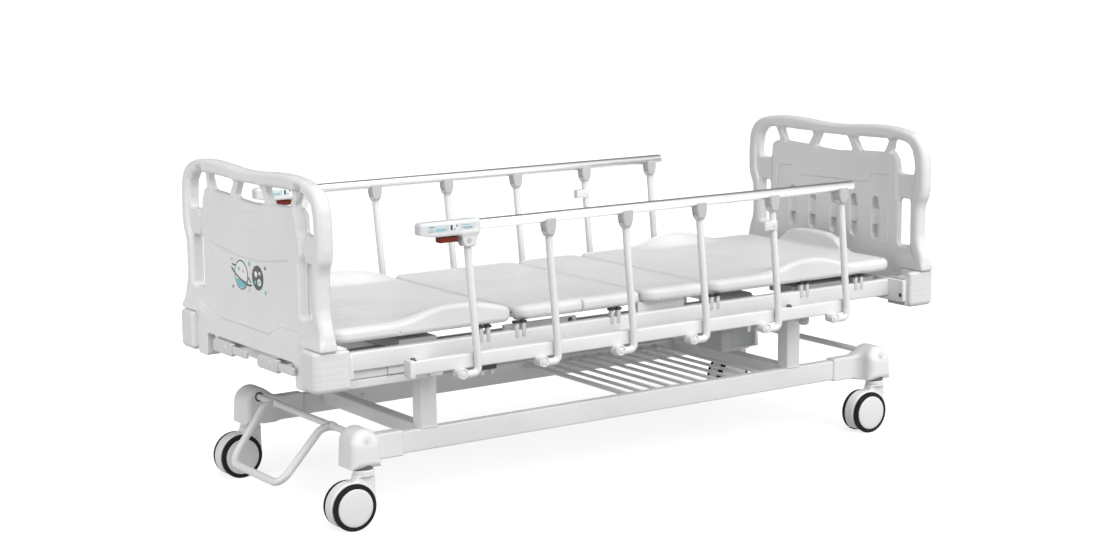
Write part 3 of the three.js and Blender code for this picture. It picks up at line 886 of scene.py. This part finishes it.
LEG_SLOTS = [(-730, -690, 92, 5.5, 17), (-806, -700, -72, 5, 17), (-580, -540, 96, 5.5, 17), (-570, -532, -90, 5.5, 17), (-696, -652, -258, 5.5, 17), (-696, -652, 258, 5.5, 17), (-880, -842, 0, 5.5, 17), (-880, -842, -180, 5.5, 17), (-880, -842, 180, 5.5, 17)]
BACK_SLOTS = [(552, 592, -84, 5.5, 17), (552, 592, 84, 5.5, 17), (668, 710, -150, 5.5, 17), (668, 710, 0, 5.5, 17), (668, 710, 150, 5.5, 17), (800, 842, -84, 5.5, 17), (800, 842, 84, 5.5, 17)]
H_DECK = (1.9, 3.8, 1.9)
panels = [
    ("leg_panel", "leg_section", deck(-975, -426, 48, 40, wing=WING_LEG, slots=LEG_SLOTS, notch=((-782, 500), (-500, 498)), dimples=((-930, 250), (-930, -250), (-455, 270), (-455, -270))), (-980, -350, 484), (-419, 350, 566)),
    ("thigh_panel", "thigh_section", deck(-412, 6, 34, 44, ribs=ribs_at(-396, -10, 9), notch=((-107, 498), (-330, 498)), split=-204), (-419, -350, 484), (13, 350, 532)),
    ("seat_panel", "frame", deck(16, 238, 40, 40, ribs=ribs_at(30, 224, 5), notch=((60, 498), (129, 498), (200, 498))), (9, -350, 484), (245, 350, 532)),
    ("back_panel", "back_section", deck(252, 950, 40, 46, ribs=ribs_at(268, 490, 6), creases=(498,), wing=WING_BACK, hump=True, slots=BACK_SLOTS, notch=((370, 498), (575, 498), (820, 498)), dimples=((905, 250), (905, -250))), (245, -350, 484), (955, 350, 586)),
]
for node, body, f, lo, hi in panels:
    Shell(*nets(f, lo, hi, H_DECK, project=2, ratio=0.36)).build(node + "_moulding", body, node, "moulded_white", "deck")
# grey strips sunk into the deck slots, just under the top face: painted shade standing in for the dark inside of each
# slot
for node, body, slots in (("leg_panel", "leg_section", LEG_SLOTS), ("back_panel", "back_section", BACK_SLOTS)):
    k = Kit()
    for a, b, yc, w, dp in slots:
        k.add(rbox(a + 1, b - 1, yc - w / 2 - 0.6, yc + w / 2 + 0.6, 507, 525.2, 1.0, 0.2), "socket")
    k.build(node + "_slot_painted_shade", body)

for name, body, x in (("leg_hinge_barrels", "thigh_section", -419), ("thigh_hinge_barrels", "frame", 11), ("back_hinge_barrels", "frame", 245)):
    k = Kit()
    for y in (-296, 262):
        k.add(tube([(x, y - 13, 508), (x, y + 13, 508)], 3.4, 14, 0.6), "dark")
        k.add(tube([(x, y + 15, 508), (x, y + 27, 508)], 3.4, 14, 0.6), "steel")
    k.build(name, body)

# =====================================================================
# castors
# =====================================================================


def fork(x, y, z):
    hood = rmax(np.hypot(x + 42, z - 62.5) - 64.5, np.abs(y) - 18, 5)
    hood = smax(hood, 15 - z, 4)
    # open toward the front below the neck
    hood = smax(hood, np.minimum(x + 4, 80 - z), 6)
    neck = box3(x, y, z, (-29, -19, 66), (27, 19, 146), 10)
    sd = smin(hood, neck, 12)
    sd = smin(sd, rmax(np.hypot(x, y) - 27.5, np.abs(z - 146) - 9, 3), 5)
    sd = smax(sd, -(np.hypot(np.hypot(x, y) - 28.6, z - 143) - 1.6), 1.0)
    sd = np.minimum(sd, rmax(np.hypot(x, y) - 12, np.abs(z - 162) - 15, 1))
    return sd


V_fork = Shell(*nets(fork, (-112, -32, 10), (34, 32, 182), 1.8, project=2, ratio=0.45))
tyre_in = [(46, 19.4), (56, 19.2), (59.5, 20.2), (62.0, 22.5), (62.5, 25), (62.5, 27.5), (61.6, 30.2), (59.2, 32.4), (55.8, 33.6), (52.6, 33.6), (51.4, 32.6), (51.0, 31.0), (46, 30.5)]


def wheel_kit():
    k = Kit()
    for s in (1, -1):
        prof = [(r, t) for r, t in tyre_in]
        seg = 72
        a = 2 * math.pi * np.arange(seg) / seg
        V = np.concatenate([np.stack([r * np.cos(a), np.full(seg, t), r * np.sin(a)], 1) for r, t in prof])
        n, i = len(prof), np.arange(seg)
        j = (i + 1) % seg
        F = [np.stack([q * seg + i, ((q + 1) % n) * seg + i, ((q + 1) % n) * seg + j, q * seg + j], 1) for q in range(n)]
        part = (V, F)
        k.add(part if s > 0 else flip(part, 1), "rubber")
        disc = lathe([(0, 20), (49, 20), (50.6, 22), (50.6, 31.4), (50.0, 32.8), (48.4, 33.6), (44, 34.4), (36, 35.2), (24, 35.8), (12, 36.1), (0, 36.2)], 72, (0, 1, 0))
        k.add(disc if s > 0 else flip(disc, 1), "disc")
    k.add(lathe([(0, -20.5), (7.5, -20.5), (7.5, 20.5), (0, 20.5)], 20, (0, 1, 0)), "steel")
    return k


for e, sx in ENDS:
    for s, sy in SIDES:
        key = e + "_" + s
        V_fork.moved(sx * 892, sy * 330).build("castor_hood_" + key, "swivel_" + key, "castor_fork_" + key, "white_coat", "cover")
        wheel_kit().moved(sx * 892 - 42, sy * 330, 62.5).build("castor_twin_wheel_" + key, "wheel_" + key, "castor_wheel_" + key, "wheel_rubber")

# castor covers


def cover(x, y, z):
    u = x - 892
    side = np.abs(u) - (41.5 + np.clip(215 - z, 0, 60) * 0.06)
    d2 = np.where(z > 219, np.hypot(u, z - 219) - 41.6, side)
    d2 = rmax(d2, 157.5 - z, 3)
    shoulder = y - 360 + 9 * sstep(212, 260, z)
    dome = rmax(d2, np.maximum(shoulder, 263 - y), 21)
    dome = smax(dome, 157.5 - z, 2.5)
    sleeve = box3(x, y, z, (752.3, 263, 161), (880, 301, 230), 5)
    sd = smin(dome, sleeve, 30)
    sd = smax(sd, 157.5 - z, 2.0)
    sd = smax(sd, 262.6 - y, 2.0)
    sd = np.maximum(sd, 752.3 - x)
    sd = smax(sd, -np.maximum(np.hypot(u, y - 330) - 26.0, z - 168), 1.5)
    sd = np.maximum(sd, -np.maximum(np.hypot(u, y - 330) - 12.8, z - 180))
    sd = smax(sd, -np.maximum(np.hypot(u, z - 236) - 13.5, y - 302), 1.5)
    return sd


V_cover = Shell(*nets(cover, (746, 256, 154), (942, 366, 266), 1.9, project=2, ratio=0.4))


def cover_details():
    k = Kit()
    # screw cap on the shoulder
    o, n = A(893, 352, 234), A(0.05, 0.93, 0.36)
    n = n / np.linalg.norm(n)
    g = gradient(cover, o[None, :], 1.0)[0]
    n = g / np.linalg.norm(g)
    o = o - n * float(cover(o[0:1], o[1:2], o[2:3])[0])
    k.add(lathe([(0, -3), (9.4, -3), (9.4, 0.5), (8.6, 1.0), (8.0, 1.0), (7.7, 0.2), (7.2, 0.2), (6.9, 1.1), (5.5, 1.5), (0, 1.7)], 32, n, o), "cover")
    k.add(orient(rbox(-4.6, 4.6, -0.9, 0.9, 1.0, 1.9, 0.6, 0.2), n, o), "socket")
    k.add(orient(rbox(-0.9, 0.9, -4.6, 4.6, 1.0, 1.9, 0.6, 0.2), n, o), "socket")
    k.add(lathe([(9.3, 0.15), (10.0, 0.15), (10.0, 0.5), (9.3, 0.5)], 32, n, o), "socket")
    # plug in the stem bore, seen from below, coloured dark: painted shade for the gap under the dome
    k.add(lathe([(12.9, 157.0), (25.4, 157.0), (25.4, 167), (12.9, 167)], 28, o=(892, 330, 0)), "dark")
    # bush round the brake shaft
    b = lathe([(9.6, 268), (13.4, 268), (13.4, 276), (9.6, 276)], 28, (0, 1, 0), (892, 0, 236))
    k.add(b, "black")
    return k


K_cover = cover_details()
for e, sx in ENDS:
    for s, sy in SIDES:
        key = e + "_" + s
        V_cover.flipped(*sides(sx, sy)).build("castor_cover_shell_" + key, "frame", "castor_cover_" + key, "moulded_white", "cover")
        K_cover.flipped(*sides(sx, sy)).build("castor_cover_fittings_" + key, "frame")

# =====================================================================
# base frame
# =====================================================================
for s, sy in SIDES:
    k = Kit()
    k.add(prism("x", rrect(267, 297, 165, 225, 5), -752, 752, 1.0))
    for x in (-652, -560, 470, 690):
        k.add(bolt((x, 267, 195), (0, -1, 0), 5.5, 3.5), "steel")
    (k if sy > 0 else k.flipped(1)).build("base_rail_tube_" + s, "frame", "base_rail_" + s, "white_coat")


def weld(x0, x1, y0, y1, z, r=2.2):
    P = [(u, v, z) for u, v in rrect(x0, x1, y0, y1, 5, 4)]
    return tube(P, r, 8, 0, closed=True)


for name, x0 in (("foot", -696), ("head", 570)):
    k = Kit()
    k.add(prism("y", rrect(x0 + 5, x0 + 45, 190, 229, 5), -266.7, 266.7, 0.8))
    k.add(prism("y", rrect(x0 + 5, x0 + 45, 372, 413.7, 5), -338, 338, 0.8))
    for sy in (-1, 1):
        k.add(prism("z", rrect(x0, x0 + 50, min(sy * 250, sy * 297), max(sy * 250, sy * 297), 5), 225.3, 394, 1.5))
        k.add(weld(x0, x0 + 50, min(sy * 250, sy * 297), max(sy * 250, sy * 297), 226.4))
        if name == "foot":                      # stacked tubes under the side beam
            for a, b, y0, y1, z0, z1 in ((-934.7, -676, 292, 326, 366, 389.2), (-934.7, -812.4, 300, 328, 390.4, 413.7), (-811.4, -676, 304, 331, 391.4, 413.7)):
                q = prism("x", rrect(y0, y1, z0, z1, 3.5), a, b, 1.0)
                k.add(q if sy > 0 else flip(q, 1))
    k.build(name + "_leg_frame_tubes", "frame", name + "_leg_frame", "white_coat")

k = Kit()
for y in (-254, 254):
    k.add(rbox(2, 512, y - 7, y + 7, 203, 211, 2.0))
for i in range(10):
    k.add(tube([(12 + 54.5 * i, -266.7, 214), (12 + 54.5 * i, 266.7, 214)], 7 if i == 0 else 5, 16, 0.8))
    for y in (-254, 254):
        k.add(lathe([(0, -2), (7.5, -2), (8.5, 0), (7.0, 2.4), (0, 3)], 14, o=(12 + 54.5 * i, y, 210)))
k.build("storage_rack_rods", "frame", "storage_rack", "white_coat")

# brake bars
half = [(-892, 166, 236), (-927, 166, 233), (-1041, 147, 95)]
loop = half + [(x, -y, z) for x, y, z in half[::-1]]
k = Kit()
k.add(tube([(-892, -292, 236), (-892, 292, 236)], 9, 24, 1.0))
k.add(tube(fillet(loop, [0, 36, 46, 46, 36, 0], 10, closed=False), 10.4, 22, 1.0))
for sy in (-1, 1):
    k.add(lathe([(9.2, -14), (11.4, -11), (12.0, 0), (11.4, 11), (9.2, 14)], 24, (0, 1, 0), (-892, sy * 166, 236)))
k.build("brake_pedal_loop", "brake_pedal", "brake_pedal", "white_coat")
k = Kit()
k.add(tube([(892, -292, 236), (892, 292, 236)], 9, 24, 1.0))
for sy in (-1, 1):
    k.add(lathe([(9.2, -5), (11.6, -4), (11.6, 4), (9.2, 5)], 24, (0, 1, 0), (892, sy * 262, 236)), "grey")
k.build("brake_shaft_head_bar", "brake_shaft_head", "brake_shaft_head", "grey_steel")

# =====================================================================
# upper frame
# =====================================================================
PEGS = (-520, -407, -92, 260, 597, 812)
for s, sy in SIDES:
    k = Kit()
    k.add(prism("x", rrect(310, 340, 414, 464, 5), -935, 935, 1.0))
    for x in PEGS:
        # pegs coloured darker than white: painted shade under the deck
        for dx in (-11, 11):
            k.add(prism("z", rrect(x + dx - 6, x + dx + 6, 329, 342.5, 2.5, 3), 446, 486, 1.0), "coat_painted_shade")
        for dx in (-11, 11):
            k.add(rbox(x + dx - 9, x + dx + 9, 326, 344, 483.0, 489.5, 3.0, 1.2), "black")
    # stop block with two bolt ends under the beam
    k.add(rbox(-540, -490, 326, 350, 371, 413.6, 3.0, 1.5), "black")
    for dx in (-15, 15):
        k.add(lathe([(0, 355), (4.5, 355.3), (6.6, 357.5), (7, 360.5), (7, 373), (0, 373)], 18, o=(-516 + dx, 339, 0)), "cover")
    (k if sy > 0 else k.flipped(1)).build("side_beam_tube_" + s, "frame", "side_beam_" + s, "white_coat")

for e, sx in ENDS:
    k = Kit()
    wide = 402 if e == "head" else 374
    k.add(prism("x", rrect(-wide, wide, 400, 466, 6), 935.3, 948, 2.0))
    k.add(prism("x", rrect(-300, 300, 404, 462, 6), 947, 960, 1.0))
    for y in (-wide + 41, wide - 41):
        k.add(rbox(947, 963, y - 37, y + 37, 388, 470, 3.0, 1.0, axis="x"), "grey")
    for y in (-230, 230):
        k.add(rbox(955, 1032, y - 10, y + 10, 410, 436, 3.0, 1.5, axis="x"))
        k.add(tube([(1021, y, 430), (1021, y, 499)], 7, 18, 2.0), "steel")
    for y in (-391, 391) if e == "head" else ():
        k.add(lathe([(0, 0.2), (6.2, 0.2), (6.6, -0.3), (0, -0.3)], 24, (-1, 0, 0), (935.3, y, 421)), "black")
        k.add(lathe([(6.2, -0.2), (6.2, 0.7), (7.6, 0.7), (7.9, -0.2)], 24, (-1, 0, 0), (935.3, y, 421)), "steel")
    if e == "foot":
        k.add(rbox(936, 947, -300, 300, 368, 403, 3.0, 1.0, axis="y"))
        # grey spacers between the bumpers and the side beams: painted shade for the shaded strip there
        for y in (-322, 322):
            k.add(rbox(936, 955, y - 20, y + 20, 378, 405, 3.0, 1.0, axis="x"), "grey")
        for y in (-150, 120):
            k.add(lathe([(9.6, 959), (17, 959), (17, 966), (15, 968), (9.6, 968)], 28, (1, 0, 0), (0, y, 424)), "bumper")
    (k if sx > 0 else k.flipped(0)).build(e + "_end_beam_tube", "frame", e + "_end_beam", "white_coat")


def bumper(x, y, z):
    sd = rmax(rmax(rect2(x, y, 960.3, 1062, 322, 407, np.where((x > 1011) & (y > 364), 22.0, 9.0)), 381 - z, 16.0), z - 488, 8.0)
    sd = smax(sd, -box3(x, y, z, (900, 300, 467), (999, 389, 540), 5), 4)
    g = 0
    for zi in (399, 413, 428, 446, 466):
        g = g + 0.32 * np.exp(-((z - zi) / 1.4) ** 2)
    return sd + g * sstep(966, 974, x)


V_bumper = Shell(*nets(bumper, (956, 317, 376), (1067, 412, 493), 1.9, project=2, ratio=0.5))
for e, sx in ENDS:
    for s, sy in SIDES:
        key = e + "_" + s
        V_bumper.flipped(*sides(sx, sy)).build("bumper_block_" + key, "frame", "bumper_" + key, "bumper_grey", "bumper")


def drive(x, y, z):
    sd = box3(x, y, z, (420, -172, 268), (498, -58, 371.7), 7)
    sd = np.minimum(sd, box3(x, y, z, (420, -170, 276), (556, -60, 371.7), 7))
    sd = np.minimum(sd, box3(x, y, z, (420, -172, 340), (540, -58, 442), 7))
    g = 2.2 * np.exp(-((x - 462) / 1.5) ** 2) + 2.0 * np.exp(-((z - 332) / 1.5) ** 2) * sstep(468, 462, x) + 1.5 * np.exp(-((z - 284) / 1.3) ** 2) * sstep(458, 464, x)
    return sd + g


V_drive = Shell(*nets(drive, (414, -178, 262), (562, -52, 448), 2.0, project=2, ratio=0.4))
V_drive.build("drive_box_cover", "frame", "drive_box", "drive_cover", "drive")
k = Kit()
for x, y, z in ((440, -172, 420), (436, -172, 282), (544, -170, 288), (544, -170, 356), (524, -172, 420)):
    k.add(bolt((x, y, z), (0, -1, 0), 4.5, 2.5), "steel")
k.build("drive_box_screws", "frame")


def ladder(x0, x1, xs):
    k = Kit()
    for y in (-262, 262):
        k.add(prism("x", rrect(y - 12, y + 12, 476, 489.7, 3), x0, x1, 1.0))
    for x in xs:
        k.add(prism("y", rrect(x - 12, x + 12, 477, 488.7, 3), -252, 252, 0.0))
    return k


ladder(300, 905, (318, 600, 880)).build("back_frame_ladder", "back_section", "back_frame", "white_coat")
ladder(-372, -40, (-354, -60)).build("thigh_frame_ladder", "thigh_section", "thigh_frame", "white_coat")
# fixed members between the side beams, seen through the gap under the deck; the grey cross tube and the grey members at
# the head end are painted shade, coloured dark to read as the shade under the deck
k = Kit()
k.add(prism("y", rrect(-766, -650, 446, 474, 4), -309.5, 309.5, 1.0), "grey")
for sy in (-1, 1):
    for x0, x1, y0, y1, z0, z1, m in ((-420, -183, 268, 281, 450, 469, "coat"), (8, 171, 288, 309.5, 459, 489.4, "bumper"), (575, 902, 205, 309.5, 450, 473, "grey")):
        q = rbox(x0, x1, y0, y1, z0, z1, 3.0, 1.0, axis="x")
        k.add(q if sy > 0 else flip(q, 1), m)
    k.add(hexbolt((-204, sy * 281, 460), (0, sy, 0), 6.0, 4.0), "dark")
k.build("deck_supports", "frame")

# =====================================================================
# cranks
# =====================================================================
for s, y0, end in (("left", -150, 419.5), ("right", 120, -250)):
    k = Kit()
    k.add(tube([(-1054, y0, 424), (end, y0, 424)], 9, 24, 1.5), "grey")
    # the arm and the grip are coloured darker than their white finish: painted shade under the foot board
    arm = fillet([(y0 - 40, 402), (y0 + 75, 402), (y0 + 75, 436), (y0 - 40, 436)], [4, 10, 10, 4], 6)
    k.add(prism("x", arm, -1060.5, -1046, 3.2, 4), "coat_painted_shade")
    k.add(rbox(-1049.7, -1046.3, y0 - 64, y0 - 36, 413, 430, 1.6, 0.8), "steel")
    k.add(tube([(-1060.6, y0 - 28, 405.5), (-1060.6, y0 - 28, 432.5)], 0.9, 8, 0.3), "socket")
    k.add(bolt((-1060.2, y0, 424), (-1, 0, 0), 6.5, 1.6), "bumper")
    k.build("crank_%s_arm" % s, "crank_" + s, "crank_" + s, "white_coat")
    k = Kit()
    k.add(prism("z", rrect(-1062, -1050, y0 - 130, y0 - 46, 5.9, 6), 411, 432, 3.2, 4), "coat_painted_shade")
    for q in range(5):
        yy = y0 - 118 + 13 * q
        k.add(tube([(-1061.6, yy, 415), (-1061.6, yy, 428)], 0.9, 8, 0.4), "bumper")
    k.add(lathe([(0, 430), (3.6, 430), (3.6, 433.0), (2.8, 433.6), (0, 433.6)], 18, o=(-1056, y0 - 52, 0)), "steel")
    k.build("crank_grip_%s_moulding" % s, "crank_grip_" + s, "crank_grip_" + s, "moulded_white")

# =====================================================================
# side rails (made for +Y and mirrored)
# =====================================================================
TOPS = (-646, -395, -145, 107, 368, 627)
Y = 461


def socket(x, y, z):
    """tapered end piece on the rail, seat at the origin below the rail axis (z of the rail = 783)"""
    body = poly_sd(x, z, SOCKET)
    sd = rmax(body, np.abs(y) - 15.2, 4.5)
    sd = smax(sd, -(np.hypot(y, z - 783) - 13.6), 1.0)
    # slot for the upright, open downward and toward the foot end
    slot = np.maximum(np.abs(y) - 10.7, np.minimum(np.hypot(x, z - 742) - 13.8, np.maximum(z - 748, x - 11.5)))
    return smax(sd, -slot, 0.8)


SOCKET = fillet([(-17, 782), (17, 782), (17, 757), (13, 741), (9, 734), (-9, 734), (-13, 741), (-17, 757)], 5, 4)
V_socket = Shell(*nets(socket, (-20, -18, 730), (20, 18, 786), 1.3, project=2, ratio=0.5))


def latch(x, y, z):
    u = y - Y
    sd = box3(x, u, z, (-793, -18, 759), (-612, 18, 800), 9)
    # underside rising toward the foot end
    sd = smax(sd, (760 - z) + 0.17 * np.clip(-738 - x, 0, 60), 3)
    # collar of the upright
    boss = poly_sd(x, z, LATCH_BOSS)
    sd = smin(sd, rmax(boss, np.abs(u) - 17, 5), 8)
    # recess of the trigger, mouth of the collar, rail socket
    sd = smax(sd, -box3(x, u, z, (-737, -12.9, 740), (-673, 12.9, 767), 2), 1)
    sd = smax(sd, -np.maximum(np.abs(u) - 10.7, np.maximum(z - 757, x + 634)), 1)
    sd = smax(sd, -np.maximum(np.hypot(u, z - 783) - 14.2, -621 - x), 1)
    # seam of the end cap
    return sd + 1.0 * np.exp(-((x + 768) / 1.2) ** 2)


LATCH_BOSS = fillet([(-676, 772), (-620, 772), (-622, 752), (-627, 734), (-632, 728), (-659, 728), (-664, 734), (-669, 752)], 8, 4)
V_latch = Shell(*nets(latch, (-798, Y - 24, 723), (-606, Y + 24, 806), 1.6, project=2, ratio=0.5))

for s, sy in SIDES:
    fl = [1] if sy < 0 else []
    up1, hr = "siderail_%s_upright_1" % s, "siderail_%s_handrail" % s
    # handrail tube
    k = Kit()
    k.add(tube([(-619.7, Y, 783), (666.5, Y, 783)], 14, 40, 0.6), "alu")
    k.add(lathe([(0, 664), (12.4, 664), (14.0, 666.6), (13.8, 667.4), (12, 668), (0, 668)], 32, (1, 0, 0), (0, Y, 783)), "grey")
    k.flipped(*fl).build(hr + "_tube", hr, hr, "polished_aluminium")
    for i, x in enumerate(TOPS[1:]):
        V_socket.moved(x, Y).flipped(*fl).build(hr + "_socket_%d" % (i + 2), hr, slot="grey_steel", mat="socket")
    # latch
    V_latch.flipped(*fl).build(hr + "_latch_housing", hr, "siderail_%s_latch" % s, "moulded_white", ("cover", "bumper"), by=lambda x, y, z: (x < -768).astype(int))
    k = Kit()
    # plain label band round the outer face and the top
    for t, (a, b, m) in enumerate(((-772, -712, "label"), (-711, -679, "label_white"), (-678, -632, "label"))):
        for u0, u1 in ((Y + 17.6, Y + 18.25), (Y - 18.25, Y - 17.6)):
            k.add(prism("x", [(u0, 774), (u1, 774), (u1, 791.5), (u0, 791.5)], a, b), m)
        k.add(prism("x", [(Y - 9.5, 799.6), (Y + 9.5, 799.6), (Y + 9.5, 800.25), (Y - 9.5, 800.25)], a, b), m)
    for yy in (Y + 18.15, Y - 18.5):
        for a, b, z0, z1, m in ((-768, -752, 788, 789.6, "ink"), (-750, -718, 776.5, 783, "label_blue"), (-746, -726, 785, 788.5, "label"), (-713, -711.6, 776, 790, "label_blue"),
                                (-672, -646, 786.5, 788.5, "label_blue"), (-668, -640, 780, 781.6, "ink"), (-660, -642, 776, 778, "label_blue"),
                                (-769, -754, 783.5, 784.6, "label_blue"), (-769, -757, 780.5, 781.5, "label_blue"), (-769, -755, 777, 778, "ink"), (-716, -714.6, 776, 790, "cream"),
                                (-705, -699, 776.5, 789.5, "ink"), (-696, -690, 776.5, 781.5, "label_blue"), (-688, -684, 784.5, 789.5, "ink")):
            k.add(prism("x", [(yy, z0), (yy + 0.35, z0), (yy + 0.35, z1), (yy, z1)], a, b), m)
    k.add(prism("x", [(Y + 9.0, 799.5), (Y + 11.2, 799.2), (Y + 11.2, 799.9), (Y + 9.0, 800.3)], -766, -640), "cream")
    k.add(lathe([(0, -2), (7.4, -2), (7.4, 0.4), (6.6, 1.2), (0, 1.6)], 24, (0, 1, 0), (-649, Y + 16.6, 746)), "socket")
    k.flipped(*fl).build(hr + "_latch_trim", hr)
    # trigger
    k = Kit()
    k.add(prism("x", rrect(Y - 12, Y + 12, 744.5, 759, 3.5, 4), -733, -678, 2.0), "red")
    k.add(rbox(-686, -677.6, Y - 9, Y + 12.2, 744.4, 750, 2.0, 0.8), "black")
    for q in range(5):
        k.add(tube([(-728 + 10 * q, Y - 8, 744.7), (-728 + 10 * q, Y + 8, 744.7)], 1.0, 8, 0.4), "red")
    k.flipped(*fl).build("siderail_%s_trigger_key" % s, "siderail_%s_trigger" % s, "siderail_%s_trigger" % s, "red_trigger")
    # base bar
    k = Kit()
    k.add(prism("x", rrect(428, 450, 408, 446, 4.5), -812, 660, 1.2))
    for x in (-720, -60, 560):
        k.add(rbox(x - 22, x + 22, 340.3, 431, 412, 428, 3.0, 0.8, axis="y"))
    for xt in TOPS:
        xp = xt - 23
        k.add(prism("y", rrect(xp - 14, xp + 14, 387, 415, 9, 5), 439, 450.2, 1.2))
        k.add(lathe([(0, 436), (6, 436), (6, 439.5), (0, 439.5)], 16, (0, 1, 0), (xp, 0, 400)), "steel")
    # end bracket, bolts and knob
    k.add(rbox(-816, -802, 420, 455, 400, 448, 6.0, 2.0, axis="x"))
    for x in (-800, 452):
        k.add(hexbolt((x, 439, 446), (0, 0, 1), 7.5, 6.0), "dark")
    k.add(lathe([(0, 391), (4, 391), (5, 393), (5, 402), (7, 403), (7, 409), (0, 409)], 18, o=(304, 439, 0)), "steel")
    k.add(lathe([(0, 378), (11, 378), (15, 382), (15.5, 398), (12, 402), (9, 404), (9, 410), (0, 410)], 24, o=(543, 400, 0)), "grey")
    k.flipped(*fl).build("siderail_%s_base_bar" % s, "frame", "siderail_%s_base" % s, "white_coat")
    # uprights
    for i, xt in enumerate(TOPS):
        xb, zb, xp = xt + 27, 428, xt - 23
        kk = (xb - xt) / (742 - zb)
        path = [(xt - kk * 8, Y, 750), (xb, Y, zb), (xb + 0.5, Y, 395), (xp + 12, Y, 395), (xp - 4, Y, 401)]
        k = Kit()
        k.add(tube(fillet(path, [0, 30, 21, 8, 0], 9, closed=False), 10, 22, 1.2))
        # eye at the lower pivot
        k.add(lathe([(0, 450.7), (14.4, 450.7), (15.4, 451.8), (15.4, 470), (14.2, 471.6), (11.2, 471.8), (10.6, 470.2), (9.0, 470.2), (8.4, 471.6), (5.0, 472.6), (0, 472.8)], 32, (0, 1, 0), (xp, 0, 400)))
        k.add(lathe([(8.9, 470.0), (10.7, 470.0), (10.7, 470.5), (8.9, 470.5)], 32, (0, 1, 0), (xp, 0, 400)), "socket")
        # head of the tube in its pivot
        k.add(lathe([(0, -10.1), (12.4, -10.1), (13.2, -9.2), (13.2, 9.2), (12.4, 10.1), (0, 10.1)], 28, (0, 1, 0), (xt, Y, 742)))
        if i == 4:
            k.add(rbox(xt - 34, xt + 12, Y - 10.4, Y + 12, 680, 706, 4.0, 1.5))
            k.add(rbox(xt - 34.6, xt - 15, Y - 9, Y + 10.5, 683, 703, 3.0, 1.0))
            k.add(bolt((xt - 2, Y + 12, 693), (0, 1, 0), 4.2, 2.2), "bumper")
        k.flipped(*fl).build("siderail_%s_upright_%d_tube" % (s, i + 1), "siderail_%s_upright_%d" % (s, i + 1), "siderail_%s_upright_%d" % (s, i + 1), "white_coat")

# =====================================================================
# stage: floor and light
# =====================================================================
fm = bpy.data.meshes.new("floor")
fm.from_pydata([(-90, -90, 0), (90, -90, 0), (90, 90, 0), (-90, 90, 0)], [], [(0, 1, 2, 3)])
floor = bpy.data.objects.new("floor", fm)
scene.collection.objects.link(floor)
m = bpy.data.materials.new("floor_white")
m.use_nodes = True
b = m.node_tree.nodes["Principled BSDF"]
b.inputs["Base Color"].default_value = (0.42, 0.42, 0.42, 1)
b.inputs["Roughness"].default_value = 0.9
b.inputs["Specular IOR Level"].default_value = 0.0
b.inputs["Emission Color"].default_value = (1, 1, 1, 1)
b.inputs["Emission Strength"].default_value = 0.78
fm.materials.append(m)
floor.visible_diffuse = False          # the light from below comes from the studio surround

world = bpy.data.worlds.new("studio")
scene.world = world
world.use_nodes = True
wt = world.node_tree
bg = wt.nodes["Background"]
bg.inputs[0].default_value = (1, 1, 1, 1)
# bright in front and above, dim behind, low from below
tc = wt.nodes.new("ShaderNodeTexCoord")
xyz = wt.nodes.new("ShaderNodeSeparateXYZ")
wt.links.new(tc.outputs["Generated"], xyz.inputs[0])
fr = wt.nodes.new("ShaderNodeMapRange")
fr.interpolation_type = "SMOOTHSTEP"
fr.inputs["From Min"].default_value, fr.inputs["From Max"].default_value = -0.35, 0.35
fr.inputs["To Min"].default_value, fr.inputs["To Max"].default_value = 0.99, 0.18
wt.links.new(xyz.outputs["Y"], fr.inputs["Value"])
up = wt.nodes.new("ShaderNodeMapRange")
up.inputs["From Min"].default_value, up.inputs["From Max"].default_value = -0.03, 0.03
up.inputs["To Min"].default_value = 0.30
lf = wt.nodes.new("ShaderNodeMapRange")
lf.interpolation_type = "SMOOTHSTEP"
lf.inputs["From Min"].default_value, lf.inputs["From Max"].default_value = -0.7, 0.05
lf.inputs["To Min"].default_value, lf.inputs["To Max"].default_value = 0.64, 1.0
wt.links.new(xyz.outputs["X"], lf.inputs["Value"])
both = wt.nodes.new("ShaderNodeMath")
both.operation = "MULTIPLY"
wt.links.new(fr.outputs["Result"], both.inputs[0])
wt.links.new(lf.outputs["Result"], both.inputs[1])
wt.links.new(xyz.outputs["Z"], up.inputs["Value"])
wt.links.new(both.outputs[0], up.inputs["To Max"])
wt.links.new(up.outputs["Result"], bg.inputs[1])


def lamp(name, kind, energy, loc, target, **kw):
    d = bpy.data.lights.new(name, kind)
    d.energy = energy
    for a, v in kw.items():
        setattr(d, a, v)
    o = bpy.data.objects.new(name, d)
    scene.collection.objects.link(o)
    o.location = loc
    o.rotation_mode = "QUATERNION"
    o.rotation_quaternion = (Vector(target) - Vector(loc)).to_track_quat("-Z", "Y")
    return o


lamp("key", "SUN", 2.2, (-0.6, -5.9, 7.7), (0, 0, 0), angle=math.radians(60))
lamp("fill", "AREA", 29.0, (-3.7, 0.25, 0.85), (-1.0, 0.0, 0.62), shape="RECTANGLE", size=1.6, size_y=1.2)
lamp("side", "AREA", 15.0, (2.6, -3.6, 1.0), (0.8, -0.3, 0.35), shape="RECTANGLE", size=1.6, size_y=1.4)
